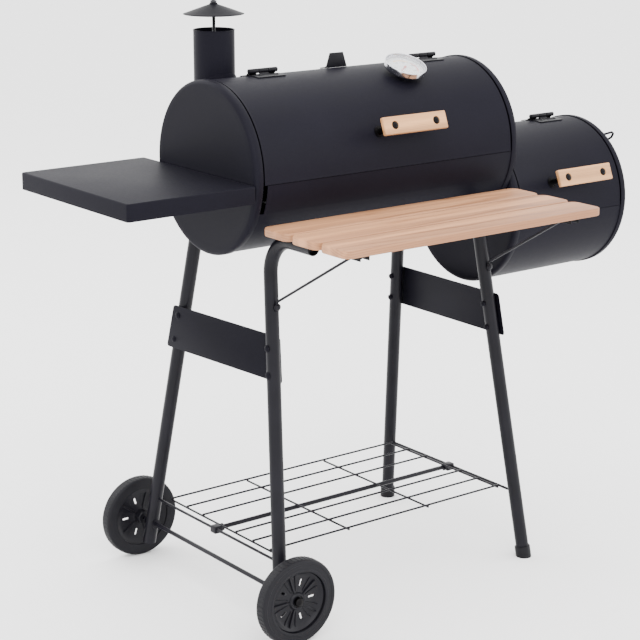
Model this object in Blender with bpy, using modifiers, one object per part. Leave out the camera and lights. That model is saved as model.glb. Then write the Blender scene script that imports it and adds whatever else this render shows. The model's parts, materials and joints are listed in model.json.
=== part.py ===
"""Offset smoker: a barrel grill with a side firebox on a wheeled tube stand.

Metres, +Z up. +X runs along the barrel towards the firebox, and the lids open at the front, -Y.
The pieces are laid out about the middle of the barrel and on the ground, and the last step
moves them together so that the origin is on the ground at the middle of the whole outline.
"""

import bmesh
import bpy
import numpy as np
from math import acos, asin, atan2, cos, degrees, pi, radians, sin, sqrt, tan
from mathutils import Matrix, Vector

# ---------------------------------------------------------------- driving dimensions

TOUCH_GAP = 0.0003          # left between two pieces that rest on each other
SHELL_WALL = 0.0012         # rolled sheet steel of both drums
DRUM_STEPS = 40             # facets round a full drum
CUT_PAST = 0.0020           # how far a cutter runs past the wall that it cuts
WELD_STEP = 0.0002          # keeps the faces of joined shapes out of one plane
MERGE = 0.00002             # points closer than this are one point
SHARP_ANGLE = 35.0          # degrees from which an edge is shaded sharp

# main barrel
BARREL_AXIS_Z = 0.8015
BARREL_RADIUS = 0.1515      # outside of the rolled shell
BARREL_LENGTH = 0.600       # over both end caps

# firebox, set lower and butted against the barrel's right cap
FIREBOX_AXIS_Z = 0.6616
FIREBOX_RADIUS = 0.148
FIREBOX_LENGTH = 0.3015

# end caps of both drums: a disc with a rounded edge and a skirt over the shell
CAP_ROUND = 0.008
CAP_SKIRT = 0.016
PASSAGE_RADIUS = 0.050      # smoke passage from the firebox into the barrel
PASSAGE_Z = 0.7300

# lids
HINGE_Y = 0.010             # seam at the crown, just behind the top line
LID_FRONT_ANGLE = 4.0       # degrees that the front seam lies below the drum's axis
LID_SEAM = 0.0012           # gap all round a closed lid
LID_STOP_ANGLE = 125.0      # degrees of opening at which the lid meets its stop
PIN_HEIGHT = 0.008          # hinge axis above the shell
PIN_RADIUS = 0.0022
PIN_CLEARANCE = 0.0003
KNUCKLE_RADIUS = 0.0045
KNUCKLE_GAP = 0.0008        # between neighbouring knuckles
KNUCKLE_RELIEF = 0.0010     # from a knuckle to the edge of the other leaf
PIN_END = 0.0015            # pin past the outer knuckles
HINGE_WIDTH = 0.062
LEAF_LENGTH = 0.024
LEAF_WALL = 0.0015
BARREL_HINGE_X = {"left": -0.168, "right": 0.200}
FIREBOX_HINGE_OFFSET = 0.0645
STOP_TOP = 0.0265           # lid stop's height above the crown
STOP_WALL = 0.0025
STOP_FOOT_WIDTH = 0.048
STOP_TOP_WIDTH = 0.030

# wooden lid handles
HANDLE_TILT = 21.5          # degrees above the drum's axis
HANDLE_HEIGHT = 0.032
HANDLE_WOOD = 0.009
HANDLE_STANDOFF = 0.039     # shell to the back of the wood
HANDLE_EDGE = 0.0025
BARREL_HANDLE = {"length": 0.143, "pitch": 0.094, "x": 0.022}
FIREBOX_HANDLE = {"length": 0.138, "pitch": 0.092}
STUD_RADIUS = 0.0030
SPACER_RADIUS = 0.0060
STUD_HEAD_RADIUS = 0.0065
STUD_HEAD = 0.0030
HEAD_CROWN = 0.7            # share of a domed head's radius that is flat on top
HEAD_EDGE = 0.3             # share of its height that is straight
STUD_TAIL = 0.0090          # thread and nut inside the lid

# thermometer on the barrel lid
GAUGE_X = 0.095
GAUGE_TILT = 23.5           # degrees forward of the crown
GAUGE_RADIUS = 0.039
GAUGE_STEM_RADIUS = 0.0030
GAUGE_STEM = 0.045
GAUGE_COLLAR = 0.008        # lid to the back of the case
GAUGE_COLLAR_RADIUS = 0.008
GAUGE_DEPTH = 0.014
GAUGE_BACK = 0.0045         # thickness of the case behind the dial
GAUGE_RECESS = 0.0045       # rim to the ledge that the lens sits on
GAUGE_WALL = 0.0032
GAUGE_LIP = 0.0018          # wall beside the lens
GAUGE_EDGE = 0.0005
DIAL_WALL = 0.0010
LENS_WALL = 0.0015
NEEDLE_LENGTH = 0.028
NEEDLE_TAIL = 0.006
NEEDLE_HALF_WIDTH = 0.0010
NEEDLE_HALF_TIP = 0.0004
NEEDLE_WALL = 0.0008
NEEDLE_LIFT = 0.0009        # dial to the needle
NEEDLE_REST = 215.0         # degrees about the case's axis when cold

# chimney on the fixed rear shell
CHIMNEY_X = -0.2105
CHIMNEY_Y = 0.099
CHIMNEY_RADIUS = 0.037
CHIMNEY_TOP_Z = 1.0280
CHIMNEY_DIP = 0.010         # how far the stack reaches inside the shell
RAIN_CAP_RADIUS = 0.0548
RAIN_CAP_RIM_Z = 1.0545
RAIN_CAP_RISE = 0.0200
RAIN_ROD_RADIUS = 0.0025
RAIN_ROD_TOP_Z = 1.0850
RAIN_NUT_RADIUS = 0.0055
RAIN_NUT_HEIGHT = 0.0040
RAIN_CAP_FLAT = 0.0065      # flat at the apex, under the nut
STRAP_WALL = 0.0020
STRAP_WIDTH = 0.012
STRAP_DROP = 0.012          # chimney's rim to the strap across it
STRAP_END_GAP = 0.0010

# air damper on the firebox's outer cap
DAMPER_RADIUS = 0.118
DAMPER_WALL = 0.0012
VENT_RADIUS = 0.020
VENT_CIRCLE = 0.068
VENT_COUNT = 3
VENT_START = 30.0           # degrees from +Y up to the first vent of the cap
VENT_TURN = 40.0            # degrees from shut to open
PIVOT_RADIUS = 0.0040
PIVOT_HEAD_RADIUS = 0.0080
PIVOT_HEAD = 0.0030
LOOP_WIRE = 0.0022
LOOP_OUTLINE = ((0.112, 0.0), (0.118, 0.010), (0.1235, 0.0565), (0.1195, 0.0625), (0.1115, 0.0605),
                (0.0845, 0.008), (0.0835, 0.0))     # distance from the pivot, and out
LOOP_ANGLE = 112.0          # degrees from +Y up to the wire handle

# stand
LEG_RADIUS = 0.0125
LEG_WALL = 0.0012
LEFT_FOOT = (-0.296, 0.210)     # x and half spread where the axle crosses the left legs
LEFT_LEG_TAIL = 0.0404          # how far the left legs go on below the axle
RIGHT_FOOT = (0.291, 0.210)     # x and half spread on the ground
LEFT_TOP = (-0.2416, 0.110)     # x and half spread of the left legs at LEG_TOP_Z
RIGHT_TOP = (0.2335, 0.110)
LEG_TOP_Z = 0.690
BEND_RADIUS = 0.055         # of the front legs' forward bend
BEND_REACH = 0.236          # how far forward the bent ends go
FOOT_CAP_WALL = 0.0017
FOOT_CAP_HEIGHT = 0.024
FOOT_CAP_FLOOR = 0.0030
FOOT_CUT = 0.050            # half size of the slabs that cut the feet level
FOOT_STEPS = 14             # facets round a foot cap
PLATE_BOTTOM_Z = 0.4386     # sheet braces across each pair of legs
PLATE_TOP_Z = 0.5190
PLATE_WALL = 0.0015
PLATE_OVERHANG = 0.0165     # past each leg's centre line
PLATE_INSIDE_OVERHANG = 0.0040   # where the left plate ends inside the front leg

# wheels
WHEEL_RADIUS = 0.0784
WHEEL_WIDTH = 0.0250
WHEEL_Y = 0.257
WHEEL_RIM = 0.0560          # inner radius of the tyre band
WHEEL_HUB = 0.0170
WHEEL_WEB = 0.0080
WHEEL_WEB_HIGH = 0.0010     # outer face of the web, out from the wheel's middle
WHEEL_SHOULDER = 0.0060     # round on the tyre's edges
HUB_INNER = 0.0200          # how far the hub reaches inboard of the wheel's middle
HUB_OUTER = 0.0060
AXLE_RADIUS = 0.0040
AXLE_CLEARANCE = 0.0003
AXLE_CAP_RADIUS = 0.0085
AXLE_CAP_LENGTH = 0.0080
AXLE_CAP_CROWN = 0.6        # share of the cap's radius and length that its dome leaves straight
AXLE_CAP_SEAT = 0.0032      # how far the axle reaches into its cap

# lower rack
RACK_Z = 0.1385             # middle of the long wires, which lie on the cross wires
RACK_X = (-0.280, 0.262)
RACK_HALF_WIDTH = 0.161
RACK_WIRE = 0.0035
RACK_ROWS = 3               # long wires on each side of the stretcher
RACK_CROSS_X = (-0.105, 0.085)
RAIL_RADIUS = 0.0030        # rods between the legs that carry the rack
RAIL_SHORT = 0.0040         # rail's end to the leg's middle
STRETCHER_RADIUS = 0.0035
STRETCHER_NUT_RADIUS = 0.0080
STRETCHER_NUT_LENGTH = 0.0055

# shelves
SIDE_SHELF_REACH = 0.2520
SIDE_SHELF_FRONT_Y = -0.1550
SIDE_SHELF_BACK_Y = 0.2000
SIDE_SHELF_Z = 0.7936
SIDE_SHELF_APRON = 0.0300
SIDE_SHELF_WALL = 0.0012
SLAT_TOP_Z = 0.7220
SLAT_THICKNESS = 0.0140
SLAT_WIDTH = 0.0745
SLAT_GAP = 0.0050
SLAT_LENGTH = 0.5800
SLAT_BACK_Y = -0.1525
SLAT_NAMES = ("back", "middle", "front")
SLAT_CORNER = 0.0160
CLEAT_WIDTH = 0.0200
CLEAT_WALL = 0.0020
CLEAT_FRONT_INSET = 0.0120
CLEAT_BACK_INSET = 0.0060
BRACE_WIRE = 0.0025
BRACE_FOOT_Z = 0.583
BRACE_SHANK = 0.016
BRACE_HEAD_INSET = 0.038    # from the front slat's edge
BRACE_TAIL = 0.018

# grates that rest on the drums' curved walls
GRATE_WALL = 0.0040
GRATE_BAR = 0.0045
COOKING_GRATE_DROP = 0.040      # below the barrel's axis
CHARCOAL_GRATE_DROP = 0.105
FIREBOX_GRATE_DROP = 0.085
COOKING_SLOTS = 14
CHARCOAL_SLOTS = 10
FIREBOX_SLOTS = 6
GRATE_END_GAP = 0.012
GRATE_SIDE_GAP = 0.0015

# colours (linear) and finish: name -> colour, roughness, metallic
FINISHES = {
    "black_enamel": ((0.040, 0.038, 0.050), 0.45, 0.3),
    "black_steel": ((0.020, 0.020, 0.024), 0.50, 0.4),
    "black_plastic": ((0.016, 0.016, 0.018), 0.55, 0.0),
    "fir_wood": ((0.66, 0.45, 0.31), 0.60, 0.0),
    "zinc_steel": ((0.48, 0.48, 0.50), 0.30, 1.0),
    "dial_white": ((0.80, 0.80, 0.78), 0.50, 0.0),
    "needle_red": ((0.45, 0.03, 0.02), 0.50, 0.0),
    "clear_glass": ((0.90, 0.92, 0.92), 0.05, 0.0),
}

# ---------------------------------------------------------------- derived positions

BARREL_END = BARREL_LENGTH / 2
FIREBOX_LEFT = BARREL_END + TOUCH_GAP
FIREBOX_RIGHT = FIREBOX_LEFT + FIREBOX_LENGTH
FIREBOX_X = (FIREBOX_LEFT + FIREBOX_RIGHT) / 2
SLAT_BOTTOM_Z = SLAT_TOP_Z - SLAT_THICKNESS
CLEAT_BOTTOM_Z = SLAT_BOTTOM_Z - TOUCH_GAP - CLEAT_WALL
BENT_LEG_Z = CLEAT_BOTTOM_Z - TOUCH_GAP - LEG_RADIUS
SLATS_FRONT_Y = SLAT_BACK_Y - len(SLAT_NAMES) * SLAT_WIDTH - (len(SLAT_NAMES) - 1) * SLAT_GAP
AXLE_Z = WHEEL_RADIUS
LEG_LEAN = 12.0             # more than any leg leans, in degrees, for what lies along one


# ---------------------------------------------------------------- scene and helpers

for old in list(bpy.data.objects):
    bpy.data.objects.remove(old, do_unlink=True)

parts = bpy.data.collections.new("offset_smoker")
cutters = bpy.data.collections.new("cutters")
bpy.context.scene.collection.children.link(parts)
bpy.context.scene.collection.children.link(cutters)


def make_finish(name):
    """Return the Principled material called name."""
    colour, roughness, metallic = FINISHES[name]
    finish = bpy.data.materials.new(name)
    finish.use_nodes = True
    shader = finish.node_tree.nodes["Principled BSDF"]
    shader.inputs["Base Color"].default_value = (*colour, 1.0)
    shader.inputs["Roughness"].default_value = roughness
    shader.inputs["Metallic"].default_value = metallic
    return finish


materials = {name: make_finish(name) for name in FINISHES}


def finish_part(obj, finish, smooth=True):
    """Give an object its own copy of a finish and shade its round faces smooth."""
    material = materials[finish].copy()
    material.name = obj.name + "_" + finish
    obj.data.materials.clear()
    obj.data.materials.append(material)
    if smooth and obj.type == "MESH":
        obj.data.shade_smooth()
        obj.data.set_sharp_from_angle(angle=radians(SHARP_ANGLE))
    return obj


def add_mesh(name, bm, at=(0, 0, 0), turn=(0, 0, 0), group=None):
    """Make an object from a bmesh at a place, with Euler angles in degrees."""
    bmesh.ops.recalc_face_normals(bm, faces=bm.faces)
    mesh = bpy.data.meshes.new(name)
    bm.to_mesh(mesh)
    bm.free()
    obj = bpy.data.objects.new(name, mesh)
    obj.location = at
    obj.rotation_euler = [radians(angle) for angle in turn]
    (group or parts).objects.link(obj)
    return obj


def box(name, low, high, group=None):
    """A box between two corners; its origin is at its middle."""
    size = [b - a for a, b in zip(low, high)]
    middle = [(a + b) / 2 for a, b in zip(low, high)]
    bm = bmesh.new()
    bmesh.ops.create_cube(bm, size=1.0, matrix=Matrix.Diagonal((*size, 1.0)))
    return add_mesh(name, bm, middle, group=group)


def rod(name, start, end, radius, sides=24, group=None):
    """A solid cylinder between two points."""
    start = Vector(start)
    end = Vector(end)
    axis = end - start
    bm = bmesh.new()
    bmesh.ops.create_cone(bm, cap_ends=True, segments=sides, radius1=radius, radius2=radius,
                          depth=axis.length)
    obj = add_mesh(name, bm, (start + end) / 2, group=group)
    obj.rotation_euler = axis.to_track_quat("Z", "Y").to_euler()
    return obj


def turned(name, profile, at, turn=(0, 0, 0), steps=48, closed=False, group=None):
    """Spin a profile of (radius, height) about local Z; the outer side runs top to bottom."""
    bm = bmesh.new()
    verts = [bm.verts.new((radius, 0, height)) for radius, height in profile]
    for first, second in zip(verts, verts[1:]):
        bm.edges.new((first, second))
    if closed:
        bm.edges.new((verts[-1], verts[0]))
    mesh = bpy.data.meshes.new(name)
    bm.to_mesh(mesh)
    bm.free()
    obj = bpy.data.objects.new(name, mesh)
    obj.location = at
    obj.rotation_euler = [radians(angle) for angle in turn]
    (group or parts).objects.link(obj)
    screw = obj.modifiers.new("turn", "SCREW")
    screw.axis = "Z"
    screw.angle = 2 * pi
    screw.steps = steps
    screw.render_steps = steps
    screw.use_merge_vertices = True
    screw.merge_threshold = MERGE / 2
    return obj


def quarter(centre, radius, start, end, count=4):
    """Points of an arc in a profile, angles in degrees."""
    angles = np.radians(np.linspace(start, end, count + 1))
    return [(centre[0] + radius * cos(a), centre[1] + radius * sin(a)) for a in angles]


def outline_plate(name, loops, thickness, at, turn=(0, 0, 0)):
    """A flat plate from 2D loops, the first outside and the rest holes, as a mesh."""
    curve = bpy.data.curves.new(name, "CURVE")
    curve.dimensions = "2D"
    curve.fill_mode = "BOTH"
    curve.extrude = thickness / 2
    for loop in loops:
        spline = curve.splines.new("POLY")
        spline.points.add(len(loop) - 1)
        for point, (x, y) in zip(spline.points, loop):
            point.co = (x, y, 0, 1)
        spline.use_cyclic_u = True
    return curve_to_mesh(name, curve, at, turn)


def curve_to_mesh(name, curve, at=(0, 0, 0), turn=(0, 0, 0), group=None):
    """Turn a curve into a welded mesh object and drop the curve."""
    source = bpy.data.objects.new(name + "_curve", curve)
    bpy.context.scene.collection.objects.link(source)
    source.location = at
    source.rotation_euler = [radians(angle) for angle in turn]
    bpy.context.view_layer.update()
    evaluated = source.evaluated_get(bpy.context.evaluated_depsgraph_get())
    mesh = bpy.data.meshes.new_from_object(evaluated)
    bm = bmesh.new()
    bm.from_mesh(mesh)
    bmesh.ops.remove_doubles(bm, verts=bm.verts, dist=MERGE)
    bm.to_mesh(mesh)
    bm.free()
    obj = bpy.data.objects.new(name, mesh)
    obj.matrix_world = source.matrix_world
    (group or parts).objects.link(obj)
    bpy.data.objects.remove(source)
    bpy.data.curves.remove(curve)
    return obj


def wire_curve(name, points, radius, resolution, caps=True, cyclic=False):
    """A POLY curve with a round section through the points."""
    curve = bpy.data.curves.new(name, "CURVE")
    curve.dimensions = "3D"
    curve.bevel_depth = radius
    curve.bevel_resolution = resolution
    curve.use_fill_caps = caps
    spline = curve.splines.new("POLY")
    spline.points.add(len(points) - 1)
    for point, place in zip(spline.points, points):
        point.co = (*place, 1)
    spline.use_cyclic_u = cyclic
    return curve


def wire(name, points, radius, resolution=2, group=None):
    """A solid round wire."""
    return curve_to_mesh(name, wire_curve(name, points, radius, resolution), group=group)


def tube(name, points, radius, wall):
    """An open-ended round tube along the points."""
    obj = curve_to_mesh(name, wire_curve(name, points, radius, 4, caps=False))
    solid = obj.modifiers.new("wall", "SOLIDIFY")
    solid.thickness = wall
    solid.offset = -1
    solid.use_even_offset = True
    return obj


def as_cutter(obj):
    """Mark an object as a Boolean operand only."""
    obj.hide_render = True
    obj.display_type = "WIRE"
    return obj


def boolean(obj, other, operation):
    """Cut or join an object with another, which stays as a cutter."""
    as_cutter(other)
    modifier = obj.modifiers.new(operation.lower(), "BOOLEAN")
    modifier.operation = operation
    modifier.object = other
    return obj


def cut(obj, *others):
    for other in others:
        boolean(obj, other, "DIFFERENCE")
    return obj


def join(obj, *others):
    for other in others:
        boolean(obj, other, "UNION")
    return obj


def axis_empty(name, at, turn=(0, 0, 0)):
    """An empty on a joint's axis, which the moving pieces hang on."""
    empty = bpy.data.objects.new(name, None)
    empty.empty_display_size = 0.03
    empty.location = at
    empty.rotation_euler = [radians(angle) for angle in turn]
    parts.objects.link(empty)
    bpy.context.view_layer.update()
    return empty


def hang(empty, *objects):
    """Parent pieces to an empty and leave them where they are."""
    for obj in objects:
        obj.parent = empty
        obj.matrix_parent_inverse = empty.matrix_world.inverted()


# ---------------------------------------------------------------- drums

def arc_shell(name, radius, x_low, x_high, start, end, axis_z):
    """A rolled sheet about the X axis from one angle to another, degrees from +Y up."""
    steps = max(2, round(DRUM_STEPS * (end - start) / 360))
    bm = bmesh.new()
    first = bm.verts.new((x_low, radius * cos(radians(start)), radius * sin(radians(start))))
    bmesh.ops.spin(bm, geom=[first], cent=(x_low, 0, 0), axis=(1, 0, 0),
                   angle=radians(end - start), steps=steps, use_merge=False)
    swept = bmesh.ops.extrude_edge_only(bm, edges=bm.edges)
    moved = [item for item in swept["geom"] if isinstance(item, bmesh.types.BMVert)]
    bmesh.ops.translate(bm, verts=moved, vec=(x_high - x_low, 0, 0))
    mesh = bpy.data.meshes.new(name)
    bm.normal_update()
    outward = sum(f.normal.y * f.calc_center_median().y + f.normal.z * f.calc_center_median().z
                  for f in bm.faces)
    if outward < 0:
        bmesh.ops.reverse_faces(bm, faces=bm.faces)
    bm.to_mesh(mesh)
    bm.free()
    obj = bpy.data.objects.new(name, mesh)
    obj.location = (0, 0, axis_z)
    parts.objects.link(obj)
    solid = obj.modifiers.new("wall", "SOLIDIFY")
    solid.thickness = SHELL_WALL
    solid.offset = -1
    solid.use_even_offset = True
    return obj


def seam_angle(radius):
    """Angle of the crown seam, degrees from +Y up."""
    return degrees(acos(HINGE_Y / radius))


def gap_angle(radius):
    """Angle that the seam gap takes up on a drum."""
    return degrees(LID_SEAM / radius)


def make_shells(prefix, radius, x_low, x_high, axis_z):
    """The fixed shell and the lid of one drum, between the skirts of its caps."""
    fixed_low = x_low + CAP_ROUND
    fixed_high = x_high - CAP_ROUND
    lid_low = x_low + CAP_SKIRT + LID_SEAM
    lid_high = x_high - CAP_SKIRT - LID_SEAM
    front = 180 + LID_FRONT_ANGLE
    crown = seam_angle(radius)
    gap = gap_angle(radius)
    body = arc_shell(prefix + "_body", radius, fixed_low, fixed_high, front, 360 + crown, axis_z)
    lid = arc_shell(prefix + "_lid", radius, lid_low, lid_high, crown + gap, front - gap, axis_z)
    return body, lid


def make_cap(name, radius, x, facing, axis_z):
    """A drawn end cap; facing is +1 or -1 along X."""
    inner = (radius + TOUCH_GAP) / cos(pi / DRUM_STEPS)
    outer = inner + SHELL_WALL
    corner = outer - CAP_ROUND
    profile = [(0, 0)]
    profile += quarter((corner, -CAP_ROUND), CAP_ROUND, 90, 0, 2)
    profile += [(outer, -CAP_SKIRT), (inner, -CAP_SKIRT)]
    profile += quarter((corner, -CAP_ROUND), CAP_ROUND - SHELL_WALL, 0, 90, 1)
    profile += [(0, -SHELL_WALL)]
    return turned(name, profile, (x, 0, axis_z), (0, 90 * facing, 0), steps=DRUM_STEPS)


barrel_body, barrel_lid = make_shells("barrel", BARREL_RADIUS, -BARREL_END, BARREL_END, BARREL_AXIS_Z)
firebox_body, firebox_lid = make_shells("firebox", FIREBOX_RADIUS, FIREBOX_LEFT, FIREBOX_RIGHT,
                                        FIREBOX_AXIS_Z)
barrel_cap_left = make_cap("barrel_cap_left", BARREL_RADIUS, -BARREL_END, -1, BARREL_AXIS_Z)
barrel_cap_right = make_cap("barrel_cap_right", BARREL_RADIUS, BARREL_END, 1, BARREL_AXIS_Z)
firebox_cap_left = make_cap("firebox_cap_left", FIREBOX_RADIUS, FIREBOX_LEFT, -1, FIREBOX_AXIS_Z)
firebox_cap_right = make_cap("firebox_cap_right", FIREBOX_RADIUS, FIREBOX_RIGHT, 1, FIREBOX_AXIS_Z)

passage = rod("passage_cutter", (BARREL_END - CAP_SKIRT, 0, PASSAGE_Z),
              (FIREBOX_LEFT + CAP_SKIRT, 0, PASSAGE_Z), PASSAGE_RADIUS, 20, cutters)
cut(barrel_cap_right, passage)
cut(firebox_cap_left, passage)


# ---------------------------------------------------------------- lid hinges

def pin_place(radius, axis_z):
    """Y and Z of a drum's hinge axis, and the crown seam's tilt in degrees."""
    tilt = asin(HINGE_Y / radius)
    reach = radius + PIN_HEIGHT
    return reach * sin(tilt), axis_z + reach * cos(tilt), degrees(tilt)


def make_hinge(prefix, x, radius, axis_z):
    """One three-knuckle hinge: the fixed leaf carries the pin, the lid leaf turns on it."""
    pin_y, pin_z, tilt = pin_place(radius, axis_z)
    place = Matrix.Translation((x, pin_y, pin_z)) @ Matrix.Rotation(radians(-tilt), 4, "X")
    base = -PIN_HEIGHT + TOUCH_GAP
    near = KNUCKLE_RADIUS + KNUCKLE_RELIEF
    knuckle = (HINGE_WIDTH - 2 * KNUCKLE_GAP) / 3
    half = HINGE_WIDTH / 2

    def local_box(name, low, high, group=None):
        obj = box(name, low, high, group)
        obj.matrix_world = place @ Matrix.Translation(obj.location)
        return obj

    def local_rod(name, x_low, x_high, rod_radius, sides, group=None):
        obj = rod(name, (x_low, 0, 0), (x_high, 0, 0), rod_radius, sides, group)
        bpy.context.view_layer.update()
        obj.matrix_world = place @ obj.matrix_world
        return obj

    fixed = local_box(prefix + "_fixed_leaf", (-half, near, base),
                      (half, near + LEAF_LENGTH, base + LEAF_WALL))
    moving = local_box(prefix + "_lid_leaf", (-half, -near - LEAF_LENGTH, base),
                       (half, -near, base + LEAF_WALL))
    for index, start in enumerate((-half, half - knuckle)):
        web = local_box(prefix + f"_fixed_web_{index}", (start, -LEAF_WALL / 2, base + WELD_STEP),
                        (start + knuckle, near + KNUCKLE_RELIEF, base + WELD_STEP + LEAF_WALL), cutters)
        riser = local_box(prefix + f"_fixed_riser_{index}", (start + WELD_STEP / 2, 0, base + 3 * WELD_STEP),
                          (start + knuckle - WELD_STEP / 2, LEAF_WALL, 0), cutters)
        barrel = local_rod(prefix + f"_fixed_knuckle_{index}", start, start + knuckle,
                           KNUCKLE_RADIUS, 12, cutters)
        join(fixed, web, riser, barrel)
    join(fixed, local_rod(prefix + "_pin", -half - PIN_END, half + PIN_END, PIN_RADIUS, 10, cutters))
    low = -half + knuckle + KNUCKLE_GAP
    web = local_box(prefix + "_lid_web", (low, -near - KNUCKLE_RELIEF, base + WELD_STEP),
                    (low + knuckle, LEAF_WALL / 2, base + WELD_STEP + LEAF_WALL), cutters)
    riser = local_box(prefix + "_lid_riser", (low + WELD_STEP / 2, -LEAF_WALL, base + 3 * WELD_STEP),
                      (low + knuckle - WELD_STEP / 2, 0, 0), cutters)
    barrel = local_rod(prefix + "_lid_knuckle", low, low + knuckle, KNUCKLE_RADIUS, 12, cutters)
    bore = local_rod(prefix + "_bore", low - CUT_PAST, low + knuckle + CUT_PAST,
                     PIN_RADIUS + PIN_CLEARANCE, 12, cutters)
    join(moving, web, riser, barrel)
    cut(moving, bore)
    finish_part(fixed, "black_steel")
    finish_part(moving, "black_steel")
    return fixed, moving


barrel_leaves = [make_hinge(f"barrel_hinge_{side}", x, BARREL_RADIUS, BARREL_AXIS_Z)
                 for side, x in BARREL_HINGE_X.items()]
firebox_leaves = [make_hinge(f"firebox_hinge_{side}", FIREBOX_X + offset, FIREBOX_RADIUS, FIREBOX_AXIS_Z)
                  for side, offset in (("left", -FIREBOX_HINGE_OFFSET), ("right", FIREBOX_HINGE_OFFSET))]


def make_lid_stop():
    """The tab behind the crown seam that the open lid leans on."""
    pin_y, pin_z, tilt = pin_place(BARREL_RADIUS, BARREL_AXIS_Z)
    reach = BARREL_RADIUS + PIN_HEIGHT
    turned_centre = radians(270 - tilt - LID_STOP_ANGLE)
    centre_y = reach * cos(turned_centre)
    centre_z = reach * sin(turned_centre)
    top = BARREL_AXIS_Z + BARREL_RADIUS + STOP_TOP
    front = pin_y + centre_y + sqrt(BARREL_RADIUS ** 2 - (top - pin_z - centre_z) ** 2)
    foot = BARREL_AXIS_Z + sqrt(BARREL_RADIUS ** 2 - front ** 2) + TOUCH_GAP
    half_foot = STOP_FOOT_WIDTH / 2
    half_top = STOP_TOP_WIDTH / 2
    loop = [(-half_foot, foot), (half_foot, foot), (half_top, top), (-half_top, top)]
    return outline_plate("lid_stop", [loop], STOP_WALL, (0, front + STOP_WALL / 2, 0), (90, 0, 0))


lid_stop = finish_part(make_lid_stop(), "black_steel", smooth=False)


# ---------------------------------------------------------------- lid handles

def radial(radius, axis_z, tilt, x, distance):
    """A point at a distance out from a drum's front, tilt degrees above its axis."""
    reach = radius + distance
    return Vector((x, -reach * cos(radians(tilt)), axis_z + reach * sin(radians(tilt))))


def make_handle(prefix, lid, radius, axis_z, x, length, pitch):
    """A wooden bar on two studs, each with a spacer, a head and a tail through the lid."""
    wood_middle = HANDLE_STANDOFF + HANDLE_WOOD / 2
    bm = bmesh.new()
    bmesh.ops.create_cube(bm, size=1.0, matrix=Matrix.Diagonal((length, HANDLE_WOOD, HANDLE_HEIGHT, 1)))
    bmesh.ops.bevel(bm, geom=bm.edges[:], offset=HANDLE_EDGE, segments=1, affect="EDGES", profile=0.5)
    bar = add_mesh(prefix + "_handle", bm, radial(radius, axis_z, HANDLE_TILT, x, wood_middle),
                   (-HANDLE_TILT, 0, 0))
    studs = []
    for side, sign in (("left", -1), ("right", 1)):
        stud_x = x + sign * pitch / 2
        place = radial(radius, axis_z, HANDLE_TILT, stud_x, 0)
        top = HANDLE_STANDOFF + HANDLE_WOOD + TOUCH_GAP
        back = HANDLE_STANDOFF - TOUCH_GAP
        profile = [(0, top + STUD_HEAD), (STUD_HEAD_RADIUS * HEAD_CROWN, top + STUD_HEAD),
                   (STUD_HEAD_RADIUS, top + STUD_HEAD * HEAD_EDGE), (STUD_HEAD_RADIUS, top),
                   (STUD_RADIUS, top), (STUD_RADIUS, back), (SPACER_RADIUS, back),
                   (SPACER_RADIUS, TOUCH_GAP), (STUD_RADIUS, TOUCH_GAP),
                   (STUD_RADIUS, -SHELL_WALL - STUD_TAIL), (0, -SHELL_WALL - STUD_TAIL)]
        stud = turned(f"{prefix}_handle_stud_{side}", profile, place, (90 - HANDLE_TILT, 0, 0), steps=8)
        hole = rod(f"{prefix}_stud_hole_{side}",
                   radial(radius, axis_z, HANDLE_TILT, stud_x, -SHELL_WALL - CUT_PAST),
                   radial(radius, axis_z, HANDLE_TILT, stud_x, top + CUT_PAST),
                   STUD_RADIUS + 2 * TOUCH_GAP, 12, cutters)
        cut(bar, hole)
        cut(lid, hole)
        studs.append(finish_part(stud, "black_steel"))
    finish_part(bar, "fir_wood")
    return [bar, *studs]


barrel_handle = make_handle("barrel", barrel_lid, BARREL_RADIUS, BARREL_AXIS_Z, BARREL_HANDLE["x"],
                            BARREL_HANDLE["length"], BARREL_HANDLE["pitch"])
firebox_handle = make_handle("firebox", firebox_lid, FIREBOX_RADIUS, FIREBOX_AXIS_Z, FIREBOX_X,
                             FIREBOX_HANDLE["length"], FIREBOX_HANDLE["pitch"])


# ---------------------------------------------------------------- thermometer

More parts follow.
